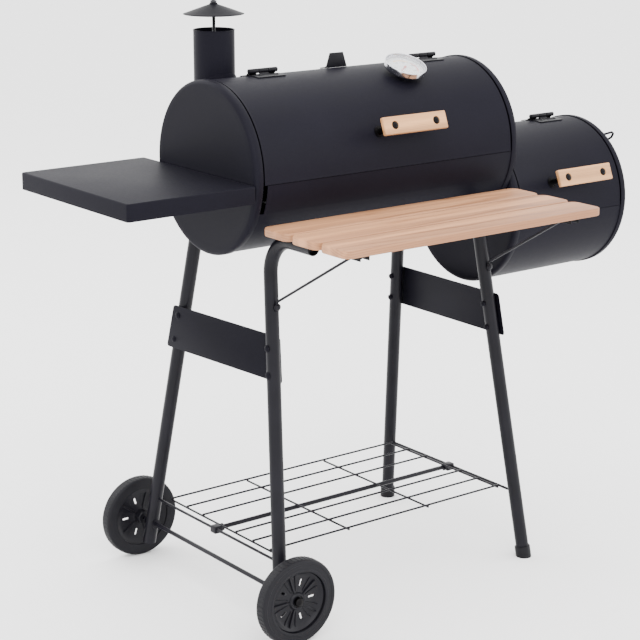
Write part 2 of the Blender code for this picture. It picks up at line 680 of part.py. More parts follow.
def make_thermometer():
    """Case with its stem, dial, needle and lens, on the lid's upper front."""
    seat = radial(BARREL_RADIUS, BARREL_AXIS_Z, 90 - GAUGE_TILT, GAUGE_X, 0)
    turn = (GAUGE_TILT, 0, 0)
    floor = GAUGE_COLLAR + GAUGE_BACK
    top = GAUGE_COLLAR + GAUGE_DEPTH
    ledge = top - GAUGE_RECESS
    bowl = GAUGE_RADIUS - GAUGE_WALL
    rim = GAUGE_RADIUS - GAUGE_LIP
    dial_low = floor + TOUCH_GAP
    dial_radius = bowl - TOUCH_GAP
    lens_low = ledge + TOUCH_GAP
    lens_radius = rim - TOUCH_GAP
    case = turned("thermometer_case", [
        (0, floor), (bowl, floor), (bowl, ledge), (rim, ledge), (rim, top),
        (GAUGE_RADIUS - GAUGE_EDGE, top), (GAUGE_RADIUS, top - GAUGE_EDGE), (GAUGE_RADIUS, GAUGE_COLLAR),
        (GAUGE_COLLAR_RADIUS, GAUGE_COLLAR), (GAUGE_COLLAR_RADIUS, TOUCH_GAP), (GAUGE_STEM_RADIUS, TOUCH_GAP),
        (GAUGE_STEM_RADIUS, -GAUGE_STEM), (0, -GAUGE_STEM)], seat, turn, steps=16)
    dial = turned("thermometer_dial", [
        (0, dial_low + DIAL_WALL), (dial_radius, dial_low + DIAL_WALL), (dial_radius, dial_low),
        (0, dial_low)], seat, turn, steps=16)
    lens = turned("thermometer_lens", [
        (0, lens_low + LENS_WALL), (lens_radius, lens_low + LENS_WALL), (lens_radius, lens_low),
        (0, lens_low)], seat, turn, steps=16)
    low = dial_low + DIAL_WALL + NEEDLE_LIFT
    needle_loop = [(-NEEDLE_TAIL, -NEEDLE_HALF_WIDTH), (NEEDLE_LENGTH, -NEEDLE_HALF_TIP),
                   (NEEDLE_LENGTH, NEEDLE_HALF_TIP), (-NEEDLE_TAIL, NEEDLE_HALF_WIDTH)]
    place = Matrix.Translation(seat) @ Matrix.Rotation(radians(GAUGE_TILT), 4, "X")
    needle = outline_plate("thermometer_needle", [needle_loop], NEEDLE_WALL, (0, 0, 0))
    needle.matrix_world = (place @ Matrix.Translation((0, 0, low + NEEDLE_WALL / 2))
                           @ Matrix.Rotation(radians(NEEDLE_REST), 4, "Z"))
    hole_ends = [radial(BARREL_RADIUS, BARREL_AXIS_Z, 90 - GAUGE_TILT, GAUGE_X, distance)
                 for distance in (-SHELL_WALL - CUT_PAST, CUT_PAST)]
    cut(barrel_lid, rod("thermometer_hole", *hole_ends, GAUGE_STEM_RADIUS + 2 * TOUCH_GAP, 12, cutters))
    finish_part(case, "zinc_steel")
    finish_part(dial, "dial_white")
    finish_part(lens, "clear_glass")
    finish_part(needle, "needle_red", smooth=False)
    return case, dial, lens, needle


thermometer_case, thermometer_dial, thermometer_lens, thermometer_needle = make_thermometer()

# ---------------------------------------------------------------- chimney

chimney_at = (CHIMNEY_X, CHIMNEY_Y, 0)
chimney_stack = turned("chimney_stack", [
    (CHIMNEY_RADIUS, CHIMNEY_TOP_Z), (CHIMNEY_RADIUS, BARREL_AXIS_Z),
    (CHIMNEY_RADIUS - SHELL_WALL, BARREL_AXIS_Z), (CHIMNEY_RADIUS - SHELL_WALL, CHIMNEY_TOP_Z)],
    chimney_at, steps=24, closed=True)
cut(chimney_stack, rod("stack_foot_cutter", (-BARREL_END, 0, BARREL_AXIS_Z), (0, 0, BARREL_AXIS_Z),
                       BARREL_RADIUS - SHELL_WALL - CHIMNEY_DIP, DRUM_STEPS, cutters))
cut(barrel_body, rod("chimney_hole", (CHIMNEY_X, CHIMNEY_Y, BARREL_AXIS_Z),
                     (CHIMNEY_X, CHIMNEY_Y, BARREL_AXIS_Z + BARREL_RADIUS),
                     (CHIMNEY_RADIUS + TOUCH_GAP) / cos(pi / 24), 24, cutters))
finish_part(chimney_stack, "black_steel")

strap_z = CHIMNEY_TOP_Z - STRAP_DROP
strap_half = CHIMNEY_RADIUS - SHELL_WALL - TOUCH_GAP - STRAP_END_GAP
rain_cap_rod = box("rain_cap_rod", (CHIMNEY_X - strap_half, CHIMNEY_Y - STRAP_WIDTH / 2, strap_z),
                   (CHIMNEY_X + strap_half, CHIMNEY_Y + STRAP_WIDTH / 2, strap_z + STRAP_WALL))
join(rain_cap_rod, rod("rain_rod_core", (CHIMNEY_X, CHIMNEY_Y, strap_z + STRAP_WALL / 2),
                       (CHIMNEY_X, CHIMNEY_Y, RAIN_ROD_TOP_Z), RAIN_ROD_RADIUS, 16, cutters))
finish_part(rain_cap_rod, "zinc_steel")

rod_hole = RAIN_ROD_RADIUS + TOUCH_GAP
cap_apex = RAIN_CAP_RIM_Z + RAIN_CAP_RISE
rain_cap = turned("rain_cap", [
    (rod_hole, cap_apex), (RAIN_CAP_FLAT, cap_apex), (RAIN_CAP_RADIUS, RAIN_CAP_RIM_Z + SHELL_WALL),
    (RAIN_CAP_RADIUS, RAIN_CAP_RIM_Z), (RAIN_CAP_FLAT - TOUCH_GAP, cap_apex - SHELL_WALL),
    (rod_hole, cap_apex - SHELL_WALL)],
    chimney_at, steps=20, closed=True)
finish_part(rain_cap, "black_enamel")
nut_low = cap_apex + TOUCH_GAP
rain_cap_nut = turned("rain_cap_nut", [
    (rod_hole, nut_low + RAIN_NUT_HEIGHT), (RAIN_NUT_RADIUS, nut_low + RAIN_NUT_HEIGHT),
    (RAIN_NUT_RADIUS, nut_low), (rod_hole, nut_low)], chimney_at, steps=12, closed=True)
finish_part(rain_cap_nut, "zinc_steel")

# ---------------------------------------------------------------- firebox damper


def vent_cutters(prefix, x_low, x_high, start):
    """Cutters for the round air vents on the damper's circle, start in degrees from +Y."""
    made = []
    for index in range(VENT_COUNT):
        angle = radians(start + index * 360 / VENT_COUNT)
        y = VENT_CIRCLE * cos(angle)
        z = FIREBOX_AXIS_Z + VENT_CIRCLE * sin(angle)
        made.append(rod(f"{prefix}_{index}", (x_low, y, z), (x_high, y, z), VENT_RADIUS, 12, cutters))
    return made


damper_x = FIREBOX_RIGHT + TOUCH_GAP
damper_out = damper_x + DAMPER_WALL
cut(firebox_cap_right, *vent_cutters("cap_vent", FIREBOX_RIGHT - SHELL_WALL - CUT_PAST,
                                       FIREBOX_RIGHT + CUT_PAST, VENT_START))
head_low = damper_out - FIREBOX_RIGHT + TOUCH_GAP
pivot_hole = PIVOT_RADIUS + TOUCH_GAP
pivot = turned("damper_pivot_core", [
    (0, head_low + PIVOT_HEAD), (PIVOT_HEAD_RADIUS * HEAD_CROWN, head_low + PIVOT_HEAD),
    (PIVOT_HEAD_RADIUS, head_low + PIVOT_HEAD * HEAD_EDGE), (PIVOT_HEAD_RADIUS, head_low),
    (PIVOT_RADIUS, head_low), (PIVOT_RADIUS, -SHELL_WALL / 2), (0, -SHELL_WALL / 2)],
    (FIREBOX_RIGHT, 0, FIREBOX_AXIS_Z), (0, 90, 0), steps=12, group=cutters)
join(firebox_cap_right, pivot)

air_damper = turned("air_damper", [
    (pivot_hole, DAMPER_WALL), (DAMPER_RADIUS, DAMPER_WALL), (DAMPER_RADIUS, 0), (pivot_hole, 0)],
    (damper_x, 0, FIREBOX_AXIS_Z), (0, 90, 0), steps=28, closed=True)
cut(air_damper, *vent_cutters("damper_vent", damper_x - CUT_PAST, damper_out + CUT_PAST,
                               VENT_START + VENT_TURN))


def damper_point(radius, out):
    """A point on the damper handle's plane."""
    angle = radians(LOOP_ANGLE)
    return (damper_out + out, radius * cos(angle), FIREBOX_AXIS_Z + radius * sin(angle))


join(air_damper, wire("damper_loop", [damper_point(*point) for point in LOOP_OUTLINE], LOOP_WIRE, 2, cutters))
finish_part(air_damper, "black_steel")

# ---------------------------------------------------------------- stand


def leg_point(top, foot, foot_z, side, z):
    """A point on a leg's straight centre line at height z; side is -1 front, +1 rear."""
    share = (LEG_TOP_Z - z) / (LEG_TOP_Z - foot_z)
    x = top[0] + (foot[0] - top[0]) * share
    y = top[1] + (foot[1] - top[1]) * share
    return Vector((x, side * y, z))


LEG_LINES = {"left": (LEFT_TOP, LEFT_FOOT, AXLE_Z, AXLE_Z - LEFT_LEG_TAIL),
             "right": (RIGHT_TOP, RIGHT_FOOT, 0.0, FOOT_CAP_FLOOR + TOUCH_GAP)}


def bent_top(bottom, upper):
    """Points of a front leg: straight up, round the bend, then forward under the shelf."""
    upward = (upper - bottom).normalized()
    forward = Vector((0, -1, 0))
    corner = bottom + upward * ((BENT_LEG_Z - bottom.z) / upward.z)
    half_turn = upward.angle(forward) / 2
    setback = BEND_RADIUS * tan(half_turn)
    start = corner - upward * setback
    normal = upward.cross(forward).normalized()
    side = normal.cross(upward)
    centre = start + side * BEND_RADIUS
    points = [bottom]
    for share in np.linspace(0, 1, 6):
        turn = Matrix.Rotation(2 * half_turn * share, 3, normal)
        points.append(centre + turn @ (start - centre))
    end = points[-1].copy()
    end.y = -BEND_REACH
    points.append(end)
    return points


def make_leg(name, line, side):
    """One tube leg; the rear ones are coped to the barrel, the front ones bend forward."""
    top, foot, foot_z, end_z = line
    bottom = leg_point(top, foot, foot_z, side, end_z)
    upper = leg_point(top, foot, foot_z, side, BARREL_AXIS_Z)
    if side < 0:
        obj = tube(name, bent_top(bottom, upper), LEG_RADIUS, LEG_WALL)
    else:
        obj = tube(name, [bottom, upper], LEG_RADIUS, LEG_WALL)
        drum = rod(name + "_cope", (-BARREL_END, 0, BARREL_AXIS_Z), (BARREL_END, 0, BARREL_AXIS_Z),
                   BARREL_RADIUS + TOUCH_GAP, 2 * DRUM_STEPS, cutters)
        cut(obj, drum)
    return obj


legs = {}
for end, line in LEG_LINES.items():
    for place, side in (("front", -1), ("rear", 1)):
        legs[end, place] = make_leg(f"leg_{place}_{end}", line, side)

# level ground cut of the right legs, and the axle holes of the left ones
for place, side in (("front", -1), ("rear", 1)):
    foot = leg_point(*LEG_LINES["right"][:3], side, 0.0)
    slab = box(f"foot_slab_{place}", (foot.x - FOOT_CUT, foot.y - FOOT_CUT, -FOOT_CUT),
               (foot.x + FOOT_CUT, foot.y + FOOT_CUT, FOOT_CAP_FLOOR + 2 * TOUCH_GAP), cutters)
    cut(legs["right", place], slab)

axle_start = (LEFT_FOOT[0], -WHEEL_Y - HUB_OUTER - AXLE_CAP_SEAT, AXLE_Z)
axle_end = (LEFT_FOOT[0], WHEEL_Y + HUB_OUTER + AXLE_CAP_SEAT, AXLE_Z)
axle_rod = finish_part(rod("axle_rod", axle_start, axle_end, AXLE_RADIUS, 16), "zinc_steel")
axle_hole = rod("axle_hole", axle_start, axle_end, AXLE_RADIUS + 2 * TOUCH_GAP, 12, cutters)
cut(legs["left", "front"], axle_hole)
cut(legs["left", "rear"], axle_hole)

for place, side in (("front", -1), ("rear", 1)):
    line = LEG_LINES["right"][:3]
    foot = leg_point(*line, side, 0.0)
    bore_radius = (LEG_RADIUS + TOUCH_GAP) / cos(pi / FOOT_STEPS)
    cup = rod(f"foot_cap_{place}", leg_point(*line, side, -FOOT_CAP_HEIGHT),
              leg_point(*line, side, FOOT_CAP_HEIGHT), bore_radius + FOOT_CAP_WALL, FOOT_STEPS)
    ground = box(f"ground_slab_{place}", (foot.x - FOOT_CUT, foot.y - FOOT_CUT, -FOOT_CUT),
                 (foot.x + FOOT_CUT, foot.y + FOOT_CUT, 0.0), cutters)
    bore = rod(f"foot_bore_{place}", leg_point(*line, side, -FOOT_CAP_HEIGHT / 2),
               leg_point(*line, side, 2 * FOOT_CAP_HEIGHT), bore_radius, FOOT_STEPS, cutters)
    keep = box(f"foot_floor_{place}", (foot.x - FOOT_CUT, foot.y - FOOT_CUT, -FOOT_CUT),
               (foot.x + FOOT_CUT, foot.y + FOOT_CUT, FOOT_CAP_FLOOR), cutters)
    cut(bore, keep)
    cut(cup, ground, bore)
    finish_part(cup, "black_plastic")

for end, line in LEG_LINES.items():
    top, foot, foot_z, _ = line
    low = leg_point(top, foot, foot_z, 1, PLATE_BOTTOM_Z)
    high = leg_point(top, foot, foot_z, 1, PLATE_TOP_Z)
    lean = degrees(atan2(high.x - low.x, high.z - low.z))
    middle = (low + high) / 2
    half = (PLATE_TOP_Z - PLATE_BOTTOM_Z) / 2 / cos(radians(lean))
    front = PLATE_INSIDE_OVERHANG if end == "left" else PLATE_OVERHANG
    loop = [(-low.y - front, -half), (low.y + PLATE_OVERHANG, -half),
            (high.y + PLATE_OVERHANG, half), (-high.y - front, half)]
    offset = LEG_RADIUS + TOUCH_GAP + PLATE_WALL / 2
    # the left plate goes outside the rear leg and inside the front one, the right one outside both
    if end == "left":
        side = Matrix.Rotation(asin(offset / high.y), 4, "Z")
    else:
        side = Matrix.Translation((offset, 0, 0))
    plate = outline_plate(f"leg_plate_{end}", [loop], PLATE_WALL, (0, 0, 0))
    plate.matrix_world = (Matrix.Translation((middle.x, 0, middle.z)) @ Matrix.Rotation(radians(lean), 4, "Y")
                          @ side @ Matrix.Rotation(radians(90), 4, "Z") @ Matrix.Rotation(radians(90), 4, "X"))
    finish_part(plate, "black_enamel", smooth=False)


# ---------------------------------------------------------------- wheels

def make_wheel(name, side):
    """A moulded wheel with a broad tyre band, a recessed web and a long hub."""
    half = WHEEL_WIDTH / 2
    bore = AXLE_RADIUS + AXLE_CLEARANCE
    web_low = WHEEL_WEB_HIGH - WHEEL_WEB
    shoulder = WHEEL_RADIUS - WHEEL_SHOULDER
    profile = [(bore, HUB_OUTER), (WHEEL_HUB, HUB_OUTER), (WHEEL_HUB, WHEEL_WEB_HIGH),
               (WHEEL_RIM, WHEEL_WEB_HIGH), (WHEEL_RIM, half)]
    profile += quarter((shoulder, half - WHEEL_SHOULDER), WHEEL_SHOULDER, 90, 0, 2)
    profile += quarter((shoulder, WHEEL_SHOULDER - half), WHEEL_SHOULDER, 0, -90, 2)
    profile += [(WHEEL_RIM, -half), (WHEEL_RIM, web_low), (WHEEL_HUB, web_low),
                (WHEEL_HUB, -HUB_INNER), (bore, -HUB_INNER)]
    wheel = turned(name, profile, (LEFT_FOOT[0], side * WHEEL_Y, AXLE_Z), (-90 * side, 0, 0),
                   steps=24, closed=True)
    return finish_part(wheel, "black_plastic")


for place, side in (("front", -1), ("rear", 1)):
    make_wheel(f"wheel_{place}", side)
    low = HUB_OUTER + TOUCH_GAP
    seat_end = HUB_OUTER + AXLE_CAP_SEAT + TOUCH_GAP
    bore = AXLE_RADIUS + TOUCH_GAP
    cap = turned(f"axle_cap_{place}", [
        (0, low + AXLE_CAP_LENGTH), (AXLE_CAP_RADIUS * AXLE_CAP_CROWN, low + AXLE_CAP_LENGTH),
        (AXLE_CAP_RADIUS, low + AXLE_CAP_LENGTH * AXLE_CAP_CROWN), (AXLE_CAP_RADIUS, low), (bore, low),
        (bore, seat_end), (0, seat_end)],
        (LEFT_FOOT[0], side * WHEEL_Y, AXLE_Z), (-90 * side, 0, 0), steps=12)
    finish_part(cap, "zinc_steel")

# ---------------------------------------------------------------- lower rack

rack_seat_z = RACK_Z - 1.5 * RACK_WIRE - TOUCH_GAP
rail_z = rack_seat_z - RAIL_RADIUS
rail_x = {}
for end, line in LEG_LINES.items():
    at = leg_point(*line[:3], 1, rail_z)
    rail_x[end] = at.x
    reach = at.y - RAIL_SHORT
    rail = finish_part(rod(f"rack_rail_{end}", (at.x, -reach, rail_z), (at.x, reach, rail_z),
                           RAIL_RADIUS, 12), "black_steel")
    hole = rod(f"rail_hole_{end}", (at.x, -at.y, rail_z), (at.x, at.y, rail_z),
               RAIL_RADIUS + 2 * TOUCH_GAP, 10, cutters)
    cut(legs[end, "front"], hole)
    cut(legs[end, "rear"], hole)


def grid_plate(name, x_lines, y_lines, bar, thickness, at):
    """A flat grid of square bars centred on the given lines, the outer lines being its frame."""
    half = bar / 2
    outer = [(x_lines[0] - half, y_lines[0] - half), (x_lines[-1] + half, y_lines[0] - half),
             (x_lines[-1] + half, y_lines[-1] + half), (x_lines[0] - half, y_lines[-1] + half)]
    loops = [outer]
    for left, right in zip(x_lines, x_lines[1:]):
        for low, high in zip(y_lines, y_lines[1:]):
            loops.append([(left + half, low + half), (right - half, low + half),
                          (right - half, high - half), (left + half, high - half)])
    return outline_plate(name, loops, thickness, at)


row_pitch = RACK_HALF_WIDTH / RACK_ROWS
rows = [row * row_pitch for row in range(-RACK_ROWS, RACK_ROWS + 1) if row]
rack = grid_plate("rack", [RACK_X[0], *RACK_CROSS_X, RACK_X[1]], rows, RACK_WIRE, 2 * RACK_WIRE,
                  (0, 0, RACK_Z - RACK_WIRE / 2))
finish_part(rack, "black_steel", smooth=False)

stretcher_z = rack_seat_z - STRETCHER_RADIUS
stretcher_left = rail_x["left"] + RAIL_RADIUS + TOUCH_GAP
stretcher_right = rail_x["right"] - RAIL_RADIUS - TOUCH_GAP
stretcher = rod("stretcher_rod", (stretcher_left, 0, stretcher_z), (stretcher_right, 0, stretcher_z),
                STRETCHER_RADIUS, 12)
for index, x in enumerate((stretcher_left + WELD_STEP, stretcher_right - WELD_STEP - STRETCHER_NUT_LENGTH)):
    join(stretcher, rod(f"stretcher_nut_{index}", (x, 0, stretcher_z),
                        (x + STRETCHER_NUT_LENGTH, 0, stretcher_z), STRETCHER_NUT_RADIUS, 12, cutters))
finish_part(stretcher, "black_steel")

# ---------------------------------------------------------------- shelves


def make_side_shelf():
    """A bent sheet tray on the barrel's left cap: a top with an apron on all four sides."""
    right = -BARREL_END - TOUCH_GAP
    left = right - SIDE_SHELF_REACH
    low = SIDE_SHELF_Z - SIDE_SHELF_APRON
    tray = box("side_shelf", (left, SIDE_SHELF_FRONT_Y, low), (right, SIDE_SHELF_BACK_Y, SIDE_SHELF_Z))
    hollow = box("side_shelf_hollow",
                 (left + SIDE_SHELF_WALL, SIDE_SHELF_FRONT_Y + SIDE_SHELF_WALL, low - CUT_PAST),
                 (right - SIDE_SHELF_WALL, SIDE_SHELF_BACK_Y - SIDE_SHELF_WALL,
                  SIDE_SHELF_Z - SIDE_SHELF_WALL), cutters)
    return cut(tray, hollow)


finish_part(make_side_shelf(), "black_enamel", smooth=False)


def rounded_loop(half_x, half_y, corner, count=2):
    """A rectangle with round corners."""
    loop = []
    for sign_x, sign_y, start in ((1, 1, 0), (-1, 1, 90), (-1, -1, 180), (1, -1, 270)):
        centre = (sign_x * (half_x - corner), sign_y * (half_y - corner))
        loop += quarter(centre, corner, start, start + 90, count)
    return loop


for index, place in enumerate(SLAT_NAMES):
    y = SLAT_BACK_Y - SLAT_WIDTH / 2 - index * (SLAT_WIDTH + SLAT_GAP)
    slat = outline_plate(f"slat_{place}", [rounded_loop(SLAT_LENGTH / 2, SLAT_WIDTH / 2, SLAT_CORNER)],
                         SLAT_THICKNESS, (0, y, (SLAT_TOP_Z + SLAT_BOTTOM_Z) / 2))
    finish_part(slat, "fir_wood")

for end, line in LEG_LINES.items():
    bend = leg_point(*line[:3], -1, BENT_LEG_Z)
    cleat = box(f"shelf_cleat_{end}", (bend.x - CLEAT_WIDTH / 2, SLATS_FRONT_Y + CLEAT_FRONT_INSET,
                                            CLEAT_BOTTOM_Z),
                (bend.x + CLEAT_WIDTH / 2, SLAT_BACK_Y - CLEAT_BACK_INSET, CLEAT_BOTTOM_Z + CLEAT_WALL))
    finish_part(cleat, "black_steel", smooth=False)
    in_front = Vector((0, -(LEG_RADIUS + BRACE_WIRE + TOUCH_GAP) / cos(radians(LEG_LEAN)), 0))
    foot = leg_point(*line[:3], -1, BRACE_FOOT_Z) + in_front
    shank = leg_point(*line[:3], -1, BRACE_FOOT_Z - BRACE_SHANK) + in_front
    head = Vector((bend.x, SLATS_FRONT_Y + BRACE_HEAD_INSET, CLEAT_BOTTOM_Z - BRACE_WIRE - TOUCH_GAP))
    tail = head + Vector((0, -BRACE_TAIL, 0))
    finish_part(wire(f"shelf_brace_{end}", [shank, foot, head, tail], BRACE_WIRE, 3), "black_steel")


# ---------------------------------------------------------------- grates

def make_grate(name, radius, axis_z, drop, x_low, x_high, slots):
    """A slotted grate whose long edges rest on a drum's wall, drop below its axis."""
    half_width = sqrt((radius - SHELL_WALL) ** 2 - (drop + GRATE_WALL) ** 2) - GRATE_SIDE_GAP
    x_lines = np.linspace(x_low + GRATE_BAR / 2, x_high - GRATE_BAR / 2, slots + 1)
    y_lines = [-half_width + GRATE_BAR / 2, 0.0, half_width - GRATE_BAR / 2]
    grate = grid_plate(name, list(x_lines), y_lines, GRATE_BAR, GRATE_WALL,
                       (0, 0, axis_z - drop - GRATE_WALL / 2))
    return finish_part(grate, "zinc_steel", smooth=False)


grate_x = BARREL_END - CAP_ROUND - GRATE_END_GAP
make_grate("cooking_grate", BARREL_RADIUS, BARREL_AXIS_Z, COOKING_GRATE_DROP, -grate_x, grate_x,
           COOKING_SLOTS)
make_grate("charcoal_grate", BARREL_RADIUS, BARREL_AXIS_Z, CHARCOAL_GRATE_DROP, -grate_x, grate_x,
           CHARCOAL_SLOTS)
make_grate("firebox_grate", FIREBOX_RADIUS, FIREBOX_AXIS_Z, FIREBOX_GRATE_DROP,
           FIREBOX_LEFT + CAP_ROUND + GRATE_END_GAP, FIREBOX_RIGHT - CAP_ROUND - GRATE_END_GAP, FIREBOX_SLOTS)

# ---------------------------------------------------------------- finishes and joint axes

for shell in (barrel_body, barrel_lid, firebox_body, firebox_lid, barrel_cap_left, barrel_cap_right,
              firebox_cap_left, firebox_cap_right):
    finish_part(shell, "black_enamel")
for leg in legs.values():
    finish_part(leg, "black_steel")

bpy.context.view_layer.update()
barrel_pin_y, barrel_pin_z, _ = pin_place(BARREL_RADIUS, BARREL_AXIS_Z)
firebox_pin_y, firebox_pin_z, _ = pin_place(FIREBOX_RADIUS, FIREBOX_AXIS_Z)
hang(axis_empty("barrel_lid_axis", (0, barrel_pin_y, barrel_pin_z)), barrel_lid, *barrel_handle,
     *[moving for fixed, moving in barrel_leaves], thermometer_case, thermometer_dial, thermometer_lens)
hang(axis_empty("firebox_lid_axis", (FIREBOX_X, firebox_pin_y, firebox_pin_z)), firebox_lid,
     *firebox_handle, *[moving for fixed, moving in firebox_leaves])


def centre_on_ground():
    """Move everything so that the origin is at the middle of the outline, on the ground."""
    graph = bpy.context.evaluated_depsgraph_get()
    corners = [obj.matrix_world @ Vector(corner) for obj in parts.objects if obj.type == "MESH"
               for corner in obj.evaluated_get(graph).bound_box]
    low = [min(corner[axis] for corner in corners) for axis in range(2)]
    high = [max(corner[axis] for corner in corners) for axis in range(2)]
    base = axis_empty("ground_centre", (0, 0, 0))
    for obj in [*parts.objects, *cutters.objects]:
        if obj.parent is None and obj is not base:
            obj.parent = base
    base.location = (-(low[0] + high[0]) / 2, -(low[1] + high[1]) / 2, 0)
    bpy.context.view_layer.update()


centre_on_ground()
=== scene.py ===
"""Looks of a barrel smoker with a side firebox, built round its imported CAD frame.

The frame says where every piece lies. Each operator models one group of pieces over it, in metres,
+Z up, +X along the barrel towards the firebox and -Y to the front.
"""

import json
from math import atan2, cos, degrees, hypot, pi, radians, sin, sqrt, tan

import bmesh
import bpy
from bpy.props import FloatProperty, FloatVectorProperty, IntProperty, PointerProperty
from mathutils import Matrix, Vector


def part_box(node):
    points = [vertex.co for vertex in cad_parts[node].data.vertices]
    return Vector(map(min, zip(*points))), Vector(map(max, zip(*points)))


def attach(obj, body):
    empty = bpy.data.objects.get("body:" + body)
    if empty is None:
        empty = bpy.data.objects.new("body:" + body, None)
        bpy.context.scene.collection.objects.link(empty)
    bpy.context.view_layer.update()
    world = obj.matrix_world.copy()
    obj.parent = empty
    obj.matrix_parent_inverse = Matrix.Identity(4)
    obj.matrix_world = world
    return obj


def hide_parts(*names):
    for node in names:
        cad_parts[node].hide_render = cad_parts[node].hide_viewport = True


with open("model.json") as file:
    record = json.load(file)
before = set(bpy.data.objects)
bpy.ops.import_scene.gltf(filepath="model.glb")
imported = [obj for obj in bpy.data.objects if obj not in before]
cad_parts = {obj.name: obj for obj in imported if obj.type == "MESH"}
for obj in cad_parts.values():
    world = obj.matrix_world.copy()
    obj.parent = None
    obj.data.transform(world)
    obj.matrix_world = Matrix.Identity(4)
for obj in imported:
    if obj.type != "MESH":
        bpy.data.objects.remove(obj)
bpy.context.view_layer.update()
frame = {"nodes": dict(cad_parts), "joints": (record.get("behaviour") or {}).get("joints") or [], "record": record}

bl_info = {
    "name": "Barrel Smoker",
    "version": (1, 0, 0),
    "blender": (4, 5, 0),
    "location": "View3D > Sidebar > Smoker",
    "description": "Builds the visible pieces of a barrel smoker round its CAD frame",
    "category": "Object",
}

X = Vector((1, 0, 0))
Y = Vector((0, 1, 0))
Z = Vector((0, 0, 1))
ROUND = 96                  # facets round a drum
LEG_RADIUS = 0.0125
MERGE = 1e-6                # points closer than this are one point
SMOOTH_UNDER = radians(38)  # edges flatter than this are shaded smooth
TOUCH = 0.0003              # hair gap between pieces that lie on each other

BODY_OF = {node: body for body, nodes in frame["record"]["behaviour"]["bodies"].items() for node in nodes}
JOINT = {joint["name"]: joint for joint in frame["joints"]}


# ---------------------------------------------------------------- places read from the frame

def middle(node):
    """Middle of a CAD node's box."""
    low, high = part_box(node)
    return (low + high) / 2


def span(node, direction):
    """Lowest and highest reach of a CAD node along a direction."""
    reaches = [vert.co.dot(direction) for vert in frame["nodes"][node].data.vertices]
    return min(reaches), max(reaches)


def section(node, axis, value):
    """Middle of the outline that a plane across a world axis cuts from a CAD node."""
    mesh = frame["nodes"][node].data
    cuts = []
    for edge in mesh.edges:
        first, second = (mesh.vertices[index].co for index in edge.vertices)
        if (first[axis] - value) * (second[axis] - value) < 0:
            cuts.append(first.lerp(second, (value - first[axis]) / (second[axis] - first[axis])))
    low = Vector([min(cut[i] for cut in cuts) for i in range(3)])
    high = Vector([max(cut[i] for cut in cuts) for i in range(3)])
    return (low + high) / 2


class Drum:
    """Axis, radii, ends and seams of one drum; angles are in degrees from +Y up."""

    cap_round = 0.008
    seam = 0.0012

    def __init__(self, prefix):
        self.prefix = prefix
        low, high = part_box(prefix + "_cap_left")
        self.y = (low.y + high.y) / 2
        self.z = (low.z + high.z) / 2
        self.cap_radius = (high.z - low.z) / 2
        self.skirt = high.x - low.x
        shell = [hypot(v.co.y - self.y, v.co.z - self.z) for v in self.verts("_body")]
        self.radius = max(shell)
        body_low, body_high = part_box(prefix + "_body")
        self.x_low = body_low.x - self.cap_round
        self.x_high = body_high.x + self.cap_round
        self.lid_low, self.lid_high = (corner.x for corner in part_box(prefix + "_lid"))
        turns = [degrees(atan2(v.co.z - self.z, v.co.y - self.y)) % 360 for v in self.verts("_lid")]
        self.crown = min(turns)
        self.front = max(turns)
        self.gap = degrees(self.seam / self.radius)

    def verts(self, piece):
        return frame["nodes"][self.prefix + piece].data.vertices

    def point(self, x, angle, radius):
        """A point at a distance from the axis."""
        return Vector((x, self.y + radius * cos(radians(angle)), self.z + radius * sin(radians(angle))))

    def outward(self, angle):
        return Vector((0, cos(radians(angle)), sin(radians(angle))))

    def over(self, y):
        """Height of the shell's upper side at y."""
        return self.z + sqrt(max(self.radius ** 2 - (y - self.y) ** 2, 0))


BARREL = Drum("barrel")
FIREBOX = Drum("firebox")


# ---------------------------------------------------------------- shader maths

class Socket:
    """A shader output that takes part in Python expressions."""

    def __init__(self, finish, output):
        self.finish = finish
        self.output = output

    def _math(self, operation, first, second):
        return self.finish.node("Math", {"operation": operation}, {0: first, 1: second})

    def __add__(self, other):
        return self._math("ADD", self, other)

    __radd__ = __add__

    def __mul__(self, other):
        return self._math("MULTIPLY", self, other)

    __rmul__ = __mul__

    def __sub__(self, other):
        return self._math("SUBTRACT", self, other)

    def __rsub__(self, other):
        return self._math("SUBTRACT", other, self)

    def __pow__(self, other):
        return self._math("POWER", self, other)


